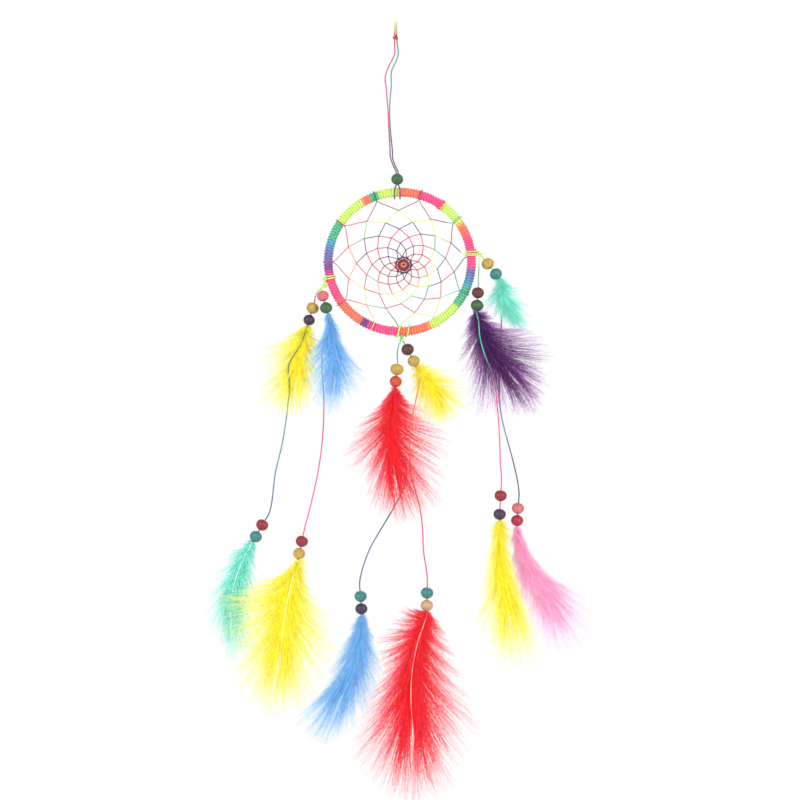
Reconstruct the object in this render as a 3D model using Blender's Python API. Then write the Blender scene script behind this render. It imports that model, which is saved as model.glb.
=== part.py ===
"""Dream catcher that hangs by a cord loop: a wrapped ring with a woven web, and six strands of beads and feathers.

Frame: metres, +Z up, +X to the right as seen from the front, +Y away from the front. The origin is the
inside top of the hanging loop, just under its knot. Places in the tables are in millimetres from the
ring's centre, as (right, up) or (right, up, back).
"""

import math

import bmesh
import bpy
import numpy as np
from mathutils import Matrix, Vector

MM = 0.001
GAP = 0.3  # clearance between pieces that touch on the real object

# Driving dimensions, in millimetres.
RING_HALF_WIDTH = 42.25  # the ring's centre line is very slightly wider than it is tall
RING_HALF_HEIGHT = 41.1
RING_CENTRE = (2.1, -129.6)  # from the hanging point: right, up
CORE_RADIUS = 1.25
WRAP_INNER = 1.7
WRAP_OUTER = 2.75
WRAP_SEAM_DEG = 49.0  # where the wrapping cord starts and ends, clockwise from the top
WRAP_SEAM_GAP_DEG = 1.0
CORD = 0.9
THREAD = 0.6
KNOT_RADIUS = 1.1
BEAD_BORE = 1.0
HANG_BEAD_BORE = 1.7
BEAD_SIDES = 10
QUILL_RADIUS = 0.45
FEATHER_THICKNESS = 1.0  # half of it
QUILL_LENGTH = 5.2  # of bare quill, from inside the bead to the first barbs
CORD_STEP = 2.7  # spacing of a cord's points
LOOSE = 0.15  # extra room where a cord or a tie bends close to its neighbour
RING_STEPS = 48
WRAP_SIDES = 8
VANE_SIDES = 8
VANE_STATIONS = (0.1, 0.25, 0.42, 0.6, 0.78, 0.92, 1.0)  # shares of the vane's length
STRAIGHT_ABOVE = {"upper": 1.0, "lower": 6.0}  # straight cord above a loose bead, for it to slide on

# The web: angles clockwise from the top where its thread is hitched to the ring, and its own centre.
HITCHES_DEG = (202.5, 234.3, 270.0, 304.1, 339.9, 16.9, 53.2, 85.2, 116.2, 149.0, 181.0)
WEB_ROUNDS = 8
WEB_CENTRE = (2.2, -1.9)
WEB_EYE = 4.9  # radius of the last round, about the centre bead
WEB_WEAVE = 0.45  # how far the thread passes in front of and behind the middle plane
WEB_PULL = 0.75  # how hard the thread pulls towards the centre, against 1 towards the ring
WEB_FIRST_REACH = 38.0  # first guess of a hitch's distance from the centre, before the thread is pulled taut
PULL_PASSES = 400

COLOURS = {
    "steel": (0.62, 0.63, 0.65),
    "lime": (0.75, 0.92, 0.25),
    "pink_cord": (0.93, 0.30, 0.47),
    "teal_cord": (0.16, 0.45, 0.45),
    "red_thread": (0.78, 0.25, 0.38),
    "ochre": (0.66, 0.50, 0.20),
    "purple": (0.16, 0.10, 0.25),
    "rose": (0.80, 0.42, 0.46),
    "green": (0.10, 0.32, 0.18),
    "orange": (0.80, 0.22, 0.08),
    "brown": (0.25, 0.10, 0.08),
    "teal": (0.10, 0.42, 0.40),
    "crimson": (0.55, 0.07, 0.12),
    "magenta": (0.70, 0.05, 0.30),
    "tan": (0.75, 0.50, 0.35),
    "feather_yellow": (1.00, 0.90, 0.05),
    "feather_blue": (0.28, 0.62, 0.93),
    "feather_red": (0.95, 0.06, 0.06),
    "feather_purple": (0.27, 0.08, 0.38),
    "feather_aqua": (0.38, 0.87, 0.76),
    "feather_pink": (1.00, 0.55, 0.75),
}

# Each knot under the ring: its centre, where the tie is wound on the ring, and the tie's pitch.
KNOTS = {
    "left": {"knot": (-44.1, -13.8), "tie_deg": 256.6, "pitch": 1.35, "from_around": 0.0},
    "bottom": {"knot": (1.0, -45.4), "tie_deg": 178.9, "pitch": 5.6, "from_around": math.pi},
    "right": {"knot": (47.4, 4.2), "tie_deg": 82.3, "pitch": 1.35, "from_around": 0.0},
}

# The six strands. A bead is (colour, place, diameter, height); a feather is (colour, spine, half width).
# "cord" lists what lies between the knot and the upper beads, and between the upper and lower beads.
STRANDS = {
    "left_outer": {
        "knot": "left",
        "upper": {
            "cord": [(-46.0, -15.0, 0.6), (-48.4, -17.4, 1.4), (-50.1, -21.0, 2.2)],
            "beads": [("ochre", (-51.5, -27.1, 2.2), 7.5, 6.4), ("purple", (-53.6, -34.2, 2.2), 6.9, 6.0)],
            "feather": ("yellow", [(-57.0, -46.0), (-60.0, -58.0), (-61.8, -72.0), (-62.4, -84.5)], 10.5),
        },
        "lower": {
            "start_back": -1.2,
            "cord": [
                (-58.6, -49.0, 0.2), (-62.8, -55.6, 0.1), (-65.6, -60.9, 0.1), (-65.7, -66.8, 0.1),
                (-65.0, -74.0, 0.2), (-66.0, -84.0, 0.4), (-67.4, -95.0, 0.8), (-69.6, -108.0, 1.2),
                (-73.4, -124.0, 1.6),
            ],
            "beads": [("crimson", (-81.3, -155.3, 2.0), 7.3, 6.4), ("teal", (-85.1, -162.2, 2.0), 7.3, 6.4)],
            "feather": (
                "aqua", [(-92.5, -175.9), (-97.2, -187.7), (-100.2, -202.5), (-101.4, -217.2), (-99.6, -232.0)],
                10.5,
            ),
        },
    },
    "left_inner": {
        "knot": "left",
        "upper": {
            "cord": [],
            "beads": [("rose", (-45.3, -20.2, -2.2), 7.0, 6.0), ("green", (-43.4, -27.2, -2.2), 7.3, 6.4)],
            "feather": ("blue", [(-40.6, -43.2), (-38.8, -57.9), (-37.1, -72.7), (-38.5, -84.5)], 9.0),
        },
        "lower": {
            "start_back": 1.2,
            "cord": [
                (-43.6, -42.0, -0.1), (-45.4, -52.0, 0.1), (-46.0, -62.0, 0.1), (-45.2, -74.0, 0.0),
                (-44.8, -86.0, -0.3), (-45.2, -98.0, -0.8), (-46.4, -112.0, -1.2), (-49.0, -128.0, -1.6),
                (-52.4, -143.0, -2.0),
            ],
            "beads": [("crimson", (-57.7, -164.7, -2.0), 7.3, 6.4), ("ochre", (-59.3, -172.0, -2.0), 7.2, 6.4)],
            "feather": (
                "yellow", [(-64.2, -190.7), (-67.7, -208.4), (-70.1, -229.0), (-71.3, -249.7), (-69.5, -263.0)],
                14.0,
            ),
        },
    },
    "middle_left": {
        "knot": "bottom",
        "upper": {
            "cord": [(-0.7, -49.4, -1.2), (-1.5, -54.0, -2.0)],
            "beads": [("ochre", (-1.7, -63.4, -2.2), 8.0, 6.6), ("orange", (-2.4, -70.6, -2.2), 7.2, 6.4)],
            "feather": (
                "red", [(-4.6, -88.0), (-5.6, -102.0), (-4.2, -120.0), (-0.6, -138.0), (1.2, -153.0)], 9.6,
            ),
        },
        "lower": {
            "start_back": 1.2,
            "cord": [
                (-3.2, -84.0, 0.0), (-2.6, -98.0, 0.2), (0.2, -112.0, 0.6), (3.6, -124.0, 1.4),
                (3.2, -131.0, 2.2), (0.2, -138.0, 2.9), (-5.8, -149.0, 3.8), (-12.4, -160.0, 4.6),
                (-18.4, -171.0, 5.2),
            ],
            "beads": [("teal", (-23.2, -197.8, 5.5), 7.4, 6.4), ("purple", (-22.8, -205.2, 5.5), 7.3, 6.4)],
            "feather": (
                "blue", [(-23.5, -223.1), (-27.0, -237.9), (-32.3, -252.7), (-41.2, -265.6), (-51.8, -275.1)],
                8.5,
            ),
        },
    },
    "middle_right": {
        "knot": "bottom",
        "upper": {
            "cord": [],
            "beads": [("brown", (4.6, -51.6, 2.2), 7.6, 6.6), ("ochre", (8.2, -58.4, 2.2), 7.4, 6.4)],
            "feather": ("yellow", [(14.4, -69.0), (19.6, -75.6), (25.5, -82.7), (29.6, -89.0)], 7.0),
        },
        "lower": {
            "start_back": -1.2,
            "cord": [
                (11.5, -69.0, 0.0), (10.4, -77.0, -2.0), (8.0, -87.9, -4.1), (6.4, -96.3, -4.7),
                (5.8, -103.0, -4.8), (5.9, -114.0, -4.9), (6.6, -125.0, -5.0), (9.0, -134.5, -5.2),
                (12.0, -146.0, -5.4), (13.4, -158.0, -5.5), (13.9, -170.0, -5.5),
            ],
            "beads": [("teal", (16.0, -194.8, -5.5), 7.4, 6.4), ("tan", (15.9, -202.2, -5.5), 7.3, 6.4)],
            "feather": (
                "red",
                [(10.7, -223.1), (7.2, -240.8), (6.6, -261.5), (8.4, -282.1), (7.2, -302.8), (4.8, -314.0)],
                18.0,
            ),
        },
    },
    "right_inner": {
        "knot": "right",
        "upper": {
            "cord": [(46.6, 0.4, -0.7), (46.6, -3.8, -1.4), (46.3, -9.0, -2.1)],
            "beads": [("brown", (46.0, -18.3, -2.2), 7.2, 6.4), ("green", (45.5, -25.8, -2.2), 7.6, 6.6)],
            "feather": (
                "purple",
                [(47.9, -39.5), (51.4, -49.0), (57.3, -57.5), (65.6, -63.2), (73.3, -68.4), (78.0, -77.0)], 8.2,
            ),
        },
        "lower": {
            "start_back": -1.2,
            "cord": [
                (46.4, -36.0, -4.4), (47.0, -44.0, -4.7), (49.6, -54.0, -4.7), (53.4, -63.0, -4.7),
                (55.6, -71.0, -4.5), (56.9, -81.0, -4.0), (57.9, -91.0, -3.4), (58.7, -104.0, -2.6),
                (59.2, -118.0, -2.1),
            ],
            "beads": [("crimson", (59.4, -137.8, -2.0), 7.3, 6.4), ("purple", (58.8, -148.8, -2.0), 7.3, 6.4)],
            "feather": (
                "yellow", [(58.5, -167.1), (60.9, -184.8), (64.4, -205.4), (67.4, -223.1), (69.1, -238.0)], 6.8,
            ),
        },
    },
    "right_outer": {
        "knot": "right",
        "upper": {
            "cord": [],
            "beads": [("ochre", (52.0, -0.9, 2.2), 7.5, 6.4), ("teal", (56.8, -7.0, 2.2), 7.5, 6.4)],
            "feather": ("aqua", [(60.6, -18.4), (62.9, -26.7), (65.8, -34.3), (68.0, -41.0)], 8.0),
        },
        "lower": {
            "start_back": 1.2,
            "cord": [
                (59.4, -19.0, 4.4), (60.2, -32.0, 4.4), (59.6, -46.0, 4.4), (58.9, -60.0, 4.2),
                (58.8, -74.0, 4.0), (59.2, -85.0, 3.8), (61.4, -97.0, 3.4), (64.6, -109.0, 2.8),
                (68.0, -122.0, 2.2),
            ],
            "beads": [("rose", (69.8, -145.4, 2.0), 7.3, 6.4), ("magenta", (69.3, -152.7, 2.0), 7.3, 6.4)],
            "feather": (
                "pink", [(72.1, -170.0), (78.0, -184.8), (85.7, -198.4), (95.7, -210.2), (106.3, -220.2)], 9.0,
            ),
        },
    },
}

# The hanging cord: down the left run, round the ring in a cow hitch, and up the right run.
HANG_KNOT = (-2.5, 132.4)
HANG_BEAD = ("green", (-1.5, 48.8, 0.0), 7.2, 6.4)
HITCH_PRONGS = (-3.1, 0.1)
HANG_LEFT_RUN = [
    (-2.6, 143.0, -0.5), (-2.9, 138.0, -0.6), (-3.1, 132.4, -0.6), (-3.1, 128.0, -0.6), (-3.0, 122.7, -0.6),
    (-6.3, 115.6, -0.7), (-8.6, 109.0, -0.8), (-7.9, 101.4, -0.8), (-7.0, 89.6, -0.8), (-6.5, 78.5, -0.8),
    (-5.8, 68.1, -0.8), (-5.5, 61.5, -0.7), (-3.8, 56.6, -0.6), (-2.15, 52.8, -0.3), (-2.1, 48.6, 0.1),
    (-2.1, 46.6, 0.3), (-2.3, 44.9, 0.9),
]
HANG_RIGHT_RUN = [
    (-0.7, 44.9, 0.9), (-0.9, 46.6, 0.3), (-0.9, 48.6, 0.1), (-0.95, 52.8, 0.3), (-2.6, 56.6, 0.6), (-4.2, 61.0, 0.7),
    (-4.4, 66.0, 0.8), (-5.4, 76.0, 0.8), (-6.0, 86.0, 0.8), (-5.8, 95.0, 0.8), (-5.0, 104.3, 0.8),
    (-4.9, 112.4, 0.7), (-2.3, 118.3, 0.6), (-0.9, 122.7, 0.6), (-1.4, 128.0, 0.6), (-1.9, 132.4, 0.6),
    (-1.9, 138.0, 0.6), (-1.6, 141.6, 0.5),
]


def place(right, up, back=0.0):
    """A point in metres in the part's frame, from millimetres about the ring's centre."""
    return Vector(((RING_CENTRE[0] + right) * MM, back * MM, (RING_CENTRE[1] + up) * MM))


def material(colour_name, roughness=0.6, metallic=0.0):
    found = bpy.data.materials.get(colour_name)
    if found:
        return found
    made = bpy.data.materials.new(colour_name)
    made.use_nodes = True
    shader = made.node_tree.nodes["Principled BSDF"]
    shader.inputs["Base Color"].default_value = (*COLOURS[colour_name], 1.0)
    shader.inputs["Roughness"].default_value = roughness
    shader.inputs["Metallic"].default_value = metallic
    return made


def add_object(name, data, colour_name, **finish):
    data.materials.append(material(colour_name, **finish))
    made = bpy.data.objects.new(name, data)
    bpy.context.scene.collection.objects.link(made)
    return made


def mesh_from(name, points, faces):
    """A closed mesh whose faces point outwards, shaded smooth except at sharp edges."""
    shape = bmesh.new()
    corners = [shape.verts.new(point) for point in points]
    for face in faces:
        shape.faces.new([corners[index] for index in face])
    bmesh.ops.recalc_face_normals(shape, faces=shape.faces)
    mesh = bpy.data.meshes.new(name)
    shape.to_mesh(mesh)
    shape.free()
    mesh.shade_smooth()
    mesh.set_sharp_from_angle(angle=math.radians(40))
    return mesh


def smooth_route(points, step):
    """Points at an even spacing, in millimetres, on a smooth curve through the route's own points."""
    route = np.array([(*p, 0.0) if len(p) == 2 else p for p in points], float)
    ends = np.vstack([2 * route[0] - route[1], route, 2 * route[-1] - route[-2]])
    fine = []
    for before, start, end, after in zip(ends, ends[1:], ends[2:], ends[3:]):
        knots = np.cumsum([0.0] + [np.linalg.norm(b - a) ** 0.5
                                   for a, b in ((before, start), (start, end), (end, after))])
        for t in np.linspace(knots[1], knots[2], 12, endpoint=False):
            fine.append(catmull(t, knots, (before, start, end, after)))
    fine = np.array(fine + [route[-1]])
    along = np.concatenate([[0.0], np.cumsum(np.linalg.norm(np.diff(fine, axis=0), axis=1))])
    count = max(int(round(along[-1] / step)), 2)
    even = np.linspace(0.0, along[-1], count + 1)
    return np.stack([np.interp(even, along, fine[:, i]) for i in range(3)], axis=1)


def catmull(t, knots, corners):
    """The centripetal Catmull-Rom point at t, by pairwise blending over ever wider spans."""
    level = list(corners)
    for spans in (((0, 1), (1, 2), (2, 3)), ((0, 2), (1, 3)), ((1, 2),)):
        level = [
            ((knots[high] - t) * first + (t - knots[low]) * second) / (knots[high] - knots[low])
            for (low, high), first, second in zip(spans, level, level[1:])
        ]
    return level[0]


def cord_object(name, points, diameter, colour_name, closed=False, resolution=2, roughness=0.7, metallic=0.0):
    """A round cord or wire as a bevelled curve through millimetre points about the ring's centre."""
    curve = bpy.data.curves.new(name, "CURVE")
    curve.dimensions = "3D"
    curve.bevel_depth = diameter / 2 * MM
    curve.bevel_resolution = resolution
    curve.use_fill_caps = not closed
    line = curve.splines.new("POLY")
    line.points.add(len(points) - 1)
    for spot, point in zip(line.points, points):
        spot.co = (*place(*point), 1.0)
    line.use_cyclic_u = closed
    return add_object(name, curve, colour_name, roughness=roughness, metallic=metallic)


def ring_point(degrees, radius=0.0, around=0.0, shift=0.0):
    """A millimetre point at `radius` from the ring's centre line.

    degrees runs clockwise from the top, around runs from the outer side to the back, and shift is a
    distance along the ring.
    """
    turn = math.radians(degrees) + shift / RING_HALF_WIDTH
    outward = (math.sin(turn), math.cos(turn))
    reach = radius * math.cos(around)
    return (
        RING_HALF_WIDTH * math.sin(turn) + reach * outward[0],
        RING_HALF_HEIGHT * math.cos(turn) + reach * outward[1],
        radius * math.sin(around),
    )


def ring_core():
    points = [ring_point(360.0 * i / RING_STEPS) for i in range(RING_STEPS)]
    cord_object("ring_core", points, 2 * CORE_RADIUS, "steel", closed=True, roughness=0.35, metallic=1.0)


def ring_wrap():
    """The wound cord as a sleeve round the core, open at the seam where its two ends are tucked in."""
    start = WRAP_SEAM_DEG + WRAP_SEAM_GAP_DEG / 2
    sides = WRAP_SIDES
    points = []
    for i in range(RING_STEPS + 1):
        degrees = start + (360.0 - WRAP_SEAM_GAP_DEG) * i / RING_STEPS
        for radius in (WRAP_OUTER, WRAP_INNER):
            points += [place(*ring_point(degrees, radius, math.tau * (j + 0.5) / sides)) for j in range(sides)]
    faces = []
    for i in range(RING_STEPS):
        here, ahead = 2 * sides * i, 2 * sides * (i + 1)
        for layer in (0, sides):
            for j in range(sides):
                k = (j + 1) % sides
                faces.append((here + layer + j, here + layer + k, ahead + layer + k, ahead + layer + j))
    for end in (0, 2 * sides * RING_STEPS):
        for j in range(sides):
            k = (j + 1) % sides
            faces.append((end + j, end + k, end + sides + k, end + sides + j))
    add_object("ring_wrap", mesh_from("ring_wrap", points, faces), "pink_cord", roughness=0.7)


def web_nodes():
    """The places where the web's thread is hitched, round after round, from the ring to the centre bead.

    Hitch k of a later round is tied on the stretch between hitches k-11 and k-10, so every free hitch
    has four neighbours. Pulled taut, each lies at a weighted mean of them.
    """
    each = len(HITCHES_DEG)
    count = each * WEB_ROUNDS
    rim = [ring_point(degrees, WRAP_OUTER + GAP + THREAD / 2, math.pi)[:2] for degrees in HITCHES_DEG]
    centre = np.array(WEB_CENTRE)
    spots = np.zeros((count, 2))
    spots[:each] = rim
    step = math.tau / each
    first = math.radians(HITCHES_DEG[0])
    for k in range(each, count):
        turn = first + step * (k % each) + step / 2 * (k // each)
        reach = WEB_FIRST_REACH + (WEB_EYE - WEB_FIRST_REACH) * k / count
        spots[k] = centre + reach * np.array([math.sin(turn), math.cos(turn)])
    for k in range(count - each, count):
        turn = first + step * (k + 0.5 * (k // each))
        spots[k] = centre + WEB_EYE * np.array([math.sin(turn), math.cos(turn)])
    for _ in range(PULL_PASSES):
        for k in range(each, count - each):
            outer = spots[k - each] + spots[k - each + 1]
            inner = spots[k + each] + spots[k + each - 1]
            spots[k] = (outer + WEB_PULL * inner) / (2 + 2 * WEB_PULL)
    return spots


def web():
    """One thread: it passes each hitch twice, first as the taut stretch and a round later as the loop."""
    spots = web_nodes()
    each = len(HITCHES_DEG)
    points = []
    for k in range(len(spots)):
        points.append((*spots[k], WEB_WEAVE))
        if k + each < len(spots):
            points.append((*spots[k + each], -WEB_WEAVE))
    cord_object("web", points, THREAD, "red_thread", resolution=1)


def bead(name, spec, axis, bore=BEAD_BORE):
    """A turned wooden bead with flat ends and a drilled bore along its axis."""
    colour, centre, diameter, height = spec
    radius, half = diameter / 2, height / 2
    profile = [
        (bore, -half), (0.62 * radius, -half), (0.93 * radius, -0.52 * half), (radius, 0.0),
        (0.93 * radius, 0.52 * half), (0.62 * radius, half), (bore, half),
    ]
    shape = bmesh.new()
    corners = [shape.verts.new((r * MM, 0.0, z * MM)) for r, z in profile]
    edges = [shape.edges.new((a, b)) for a, b in zip(corners, corners[1:] + corners[:1])]
    bmesh.ops.spin(
        shape, geom=corners + edges, cent=(0, 0, 0), axis=(0, 0, 1), dvec=(0, 0, 0), angle=math.tau,
        steps=BEAD_SIDES, use_duplicate=False,
    )
    bmesh.ops.remove_doubles(shape, verts=shape.verts, dist=0.00001)
    bmesh.ops.recalc_face_normals(shape, faces=shape.faces)
    mesh = bpy.data.meshes.new(name)
    shape.to_mesh(mesh)
    shape.free()
    mesh.shade_smooth()
    mesh.set_sharp_from_angle(angle=math.radians(50))
    made = add_object(name, mesh, colour, roughness=0.45)
    made.rotation_mode = "QUATERNION"
    made.rotation_quaternion = Vector((0, 0, 1)).rotation_difference(axis)
    made.location = place(*centre)
    return made


def feather(name, colour, root, spine, half_width, back):
    """A feather as a thin lens along its spine, with a bare quill at the top."""
    step = 0.5
    route = smooth_route([*root, *[(*p, back) for p in spine]], step)
    quill = int(QUILL_LENGTH / step)
    vane = len(route) - 1 - quill
    stations = [(0, 0.0), (quill, 0.0)]
    stations += [(quill + int(share * vane), share) for share in VANE_STATIONS]
    sides = VANE_SIDES
    points = []
    for index, share in stations:
        here = route[index]
        along = route[min(index + 4, len(route) - 1)] - route[max(index - 4, 0)]
        across = np.array([-along[1], along[0]]) / np.hypot(along[0], along[1])
        swell = math.sin(math.pi * share ** 0.62) ** 0.8 if 0.0 < share < 1.0 else 0.0
        wide = QUILL_RADIUS + (half_width - QUILL_RADIUS) * swell
        thick = QUILL_RADIUS + (FEATHER_THICKNESS - QUILL_RADIUS) * min(1.6 * swell, 1.0)
        for j in range(sides):
            turn = math.tau * j / sides
            right, up = here[:2] + across * wide * math.cos(turn)
            points.append(place(right, up, here[2] + thick * math.sin(turn)))
    faces = [tuple(range(sides)), tuple(range(sides * (len(stations) - 1), sides * len(stations)))]
    for i in range(len(stations) - 1):
        for j in range(sides):
            k = (j + 1) % sides
            faces.append((sides * i + j, sides * i + k, sides * (i + 1) + k, sides * (i + 1) + j))
    add_object(name, mesh_from(name, points, faces), "feather_" + colour, roughness=0.9)


def half_strand(name, half, spec, start, cord_colour):
    """A cord, the loose bead and the fixed bead on its end, and the feather glued into the fixed bead."""
    loose, fixed = spec["beads"]
    top, bottom = np.array(loose[1]), np.array(fixed[1])
    down = (bottom - top) / np.linalg.norm(bottom - top)
    straight = top - down * (loose[3] / 2 + STRAIGHT_ABOVE[half])
    route = [start, *spec["cord"], tuple(straight), tuple(top), tuple(bottom - down * 0.5)]
    name = f"{name}_{half}"
    cord_object(name + "_cord", smooth_route(route, CORD_STEP), CORD, cord_colour)
    axis = Vector((down[0], down[2], down[1]))
    bead(name + "_loose_bead", loose, axis)
    bead(name + "_fixed_bead", fixed, axis)
    colour, spine, half_width = spec["feather"]
    root = [tuple(bottom + down * 0.2), tuple(bottom + down * QUILL_LENGTH)]
    feather(name + "_feather", colour, root, spine, half_width, fixed[1][2])
    return bottom + down * (fixed[3] / 2 + GAP + 2 * LOOSE)


def strand(name, spec):
    knot = np.array((*KNOTS[spec["knot"]]["knot"], 0.0))
    first = np.array((spec["upper"]["cord"] or [spec["upper"]["beads"][0][1]])[0])
    away = (first - knot) / np.linalg.norm(first - knot)
    start = knot + away * (KNOT_RADIUS + GAP + LOOSE)
    below = half_strand(name, "upper", spec["upper"], tuple(start), "teal_cord")
    below[2] += spec["lower"]["start_back"]
    half_strand(name, "lower", spec["lower"], tuple(below), "pink_cord")


def tie(name, spec):
    """Two turns of cord round the ring that hold the knot."""
    turns, each = 2, 12
    points = []
    for i in range(turns * each + 1):
        share = i / (turns * each)
        around = spec["from_around"] + math.tau * turns * share
        shift = (share - 0.5) * turns * spec["pitch"]
        points.append(ring_point(spec["tie_deg"], WRAP_OUTER + GAP + LOOSE + CORD / 2, around, shift))
    cord_object(name + "_tie", points, CORD, "lime")


def knot(name, spec):
    shape = bmesh.new()
    bmesh.ops.create_icosphere(shape, subdivisions=2, radius=KNOT_RADIUS * MM)
    mesh = bpy.data.meshes.new(name + "_knot")
    shape.to_mesh(mesh)
    shape.free()
    mesh.shade_smooth()
    made = add_object(name + "_knot", mesh, "lime", roughness=0.7)
    made.location = place(*spec["knot"])


def hitch_turn(right, angles):
    """Points round the ring's top, by angle from straight up towards the back."""
    near = WRAP_OUTER + GAP + 2 * LOOSE + CORD / 2
    return [
        (right, RING_HALF_HEIGHT + near * math.cos(math.radians(a)), near * math.sin(math.radians(a)))
        for a in angles
    ]


def hanging_cord():
    """The doubled cord with its top knot: both runs go down behind the ring, under it and up its front,
    and the loop that joins them lies across the front of the bead."""
    left, right = HITCH_PRONGS
    down = list(range(52, 285, 21))
    middle = (left + right) / 2
    hitch = hitch_turn(left, down)
    hitch += [(left + 0.5, 44.0, -3.8), (middle, 45.9, -3.9), (right - 0.5, 44.0, -3.8)]
    hitch += hitch_turn(right, down[::-1])
    route = smooth_route(HANG_LEFT_RUN + hitch + HANG_RIGHT_RUN, 2.0)
    cord = cord_object("hanging_cord", route, CORD, "pink_cord")
    graph = bpy.context.evaluated_depsgraph_get()
    mesh = bpy.data.meshes.new_from_object(cord.evaluated_get(graph))
    bpy.data.objects.remove(cord)
    made = bpy.data.objects.new("hanging_cord", mesh)
    bpy.context.scene.collection.objects.link(made)

    shape = bmesh.new()
    bmesh.ops.create_icosphere(shape, subdivisions=2, radius=1.0)
    shape.transform(Matrix.Translation(place(*HANG_KNOT)) @ Matrix.Diagonal((1.8 * MM, 1.6 * MM, 1.7 * MM, 1)))
    lump = bpy.data.meshes.new("top_knot_shape")
    shape.to_mesh(lump)
    shape.free()
    helper = bpy.data.objects.new("top_knot_shape", lump)
    bpy.context.scene.collection.objects.link(helper)
    helper.hide_render = True
    helper.display_type = "WIRE"
    union = made.modifiers.new("top_knot", "BOOLEAN")
    union.operation = "UNION"
    union.object = helper
    bead("hanging_bead", HANG_BEAD, Vector((0, 0, 1)), bore=HANG_BEAD_BORE)


def build():
    for old in list(bpy.data.objects):
        bpy.data.objects.remove(old)
    ring_core()
    ring_wrap()
    web()
    bead("centre_bead", ("crimson", (*WEB_CENTRE, 0.0), 7.4, 6.6), Vector((0, 1, 0)))
    hanging_cord()
    for name, spec in KNOTS.items():
        tie(name, spec)
        knot(name, spec)
    for name, spec in STRANDS.items():
        strand(name, spec)


build()
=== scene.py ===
# %% [markdown]
# # A hanging dream catcher
#
# A wire hoop is wound all round with rainbow cord, a single thread is woven into a web inside it, and six
# strands of cord, wooden beads and down feathers hang from three knots. This lesson dresses a finished
# mechanical model: the model says where each piece is and how it moves, and the cells below make what is
# seen. Cords are real twisted yarn, beads are turned on a lathe in edit mode, and each feather grows its
# own barbs and barbules.

# %% Load the fixed frame
import math

import bpy
import numpy as np
from mathutils import Matrix, Vector


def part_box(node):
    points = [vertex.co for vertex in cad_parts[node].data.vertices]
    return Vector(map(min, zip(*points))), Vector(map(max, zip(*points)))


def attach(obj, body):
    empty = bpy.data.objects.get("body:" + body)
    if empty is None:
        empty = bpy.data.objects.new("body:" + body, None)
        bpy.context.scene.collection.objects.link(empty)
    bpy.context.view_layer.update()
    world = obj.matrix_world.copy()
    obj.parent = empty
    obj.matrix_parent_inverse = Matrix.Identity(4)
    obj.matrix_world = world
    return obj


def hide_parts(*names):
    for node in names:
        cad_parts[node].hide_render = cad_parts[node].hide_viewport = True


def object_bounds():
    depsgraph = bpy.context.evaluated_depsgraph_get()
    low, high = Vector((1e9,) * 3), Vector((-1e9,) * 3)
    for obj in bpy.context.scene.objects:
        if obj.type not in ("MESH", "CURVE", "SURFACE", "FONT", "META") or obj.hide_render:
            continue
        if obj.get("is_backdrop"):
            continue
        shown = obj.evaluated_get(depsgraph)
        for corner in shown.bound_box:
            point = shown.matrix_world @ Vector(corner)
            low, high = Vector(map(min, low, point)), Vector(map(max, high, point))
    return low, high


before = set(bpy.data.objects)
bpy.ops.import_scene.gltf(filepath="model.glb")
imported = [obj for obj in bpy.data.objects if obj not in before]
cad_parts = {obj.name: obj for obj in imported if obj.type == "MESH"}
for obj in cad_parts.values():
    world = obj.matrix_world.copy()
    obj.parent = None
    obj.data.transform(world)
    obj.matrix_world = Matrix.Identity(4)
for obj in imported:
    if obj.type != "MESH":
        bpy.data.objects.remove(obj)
cad_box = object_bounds()

# %% [markdown]
# ## Where things are
#
# The maker's drawing gives every place in millimetres from the ring's centre: right, up and back. Blender
# works in metres from the hanging point, so one function turns the one into the other, and everything
# after it is in metres.

# %% Drawing to frame
MM = 0.001
RING_CENTRE = (2.1, -129.6)
RING_HALF_WIDTH = 42.25
RING_HALF_HEIGHT = 41.1


def place(right, up, back=0.0):
    """A point in metres in the frame, from millimetres about the ring's centre."""
    return np.array(((RING_CENTRE[0] + right) * MM, back * MM, (RING_CENTRE[1] + up) * MM))


def ring_point(degrees, radius=0.0, around=0.0, shift=0.0):
    """Millimetres at `radius` from the ring's centre line, clockwise from the top.

    around turns from the outer side to the back, and shift moves along the ring.
    """
    turn = math.radians(degrees) + shift / RING_HALF_WIDTH
    reach = radius * math.cos(around)
    return (
        (RING_HALF_WIDTH + reach) * math.sin(turn),
        (RING_HALF_HEIGHT + reach) * math.cos(turn),
        radius * math.sin(around),
    )


# %% [markdown]
# ## Camera
#
# The object is seen straight from the front, as a flat picture of it would be, so the camera looks along
# +Y with a long lens that keeps the hanging lines parallel.

# %% Camera
PICTURE_WIDTH = 0.472
CAMERA_RIGHT, CAMERA_UP = 0.0022, -0.2111
LENS, SENSOR = 100.0, 36.0

camera_data = bpy.data.cameras.new("camera")
camera_data.lens = LENS
camera_data.sensor_width = SENSOR
camera = bpy.data.objects.new("camera", camera_data)
camera.location = (CAMERA_RIGHT, -PICTURE_WIDTH * LENS / SENSOR, CAMERA_UP)
camera.rotation_euler = (math.radians(90), 0, 0)
bpy.context.scene.collection.objects.link(camera)
bpy.context.scene.camera = camera
print("camera at", tuple(round(x, 3) for x in camera.location))

# %% [markdown]
# ## Dyes
#
# All the thread on this object is space-dyed: one length passes from one strong colour to the next. Colours
# are named once here, as they look on a screen, and turned into the linear values that shaders use.


# %% Dyes
def dye(red, green, blue):
    """A colour as seen on a screen, 0 to 255, as the linear values that a shader takes."""
    shown = np.array((red, green, blue)) / 255.0
    return np.where(shown <= 0.04045, shown / 12.92, ((shown + 0.055) / 1.055) ** 2.4)


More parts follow.
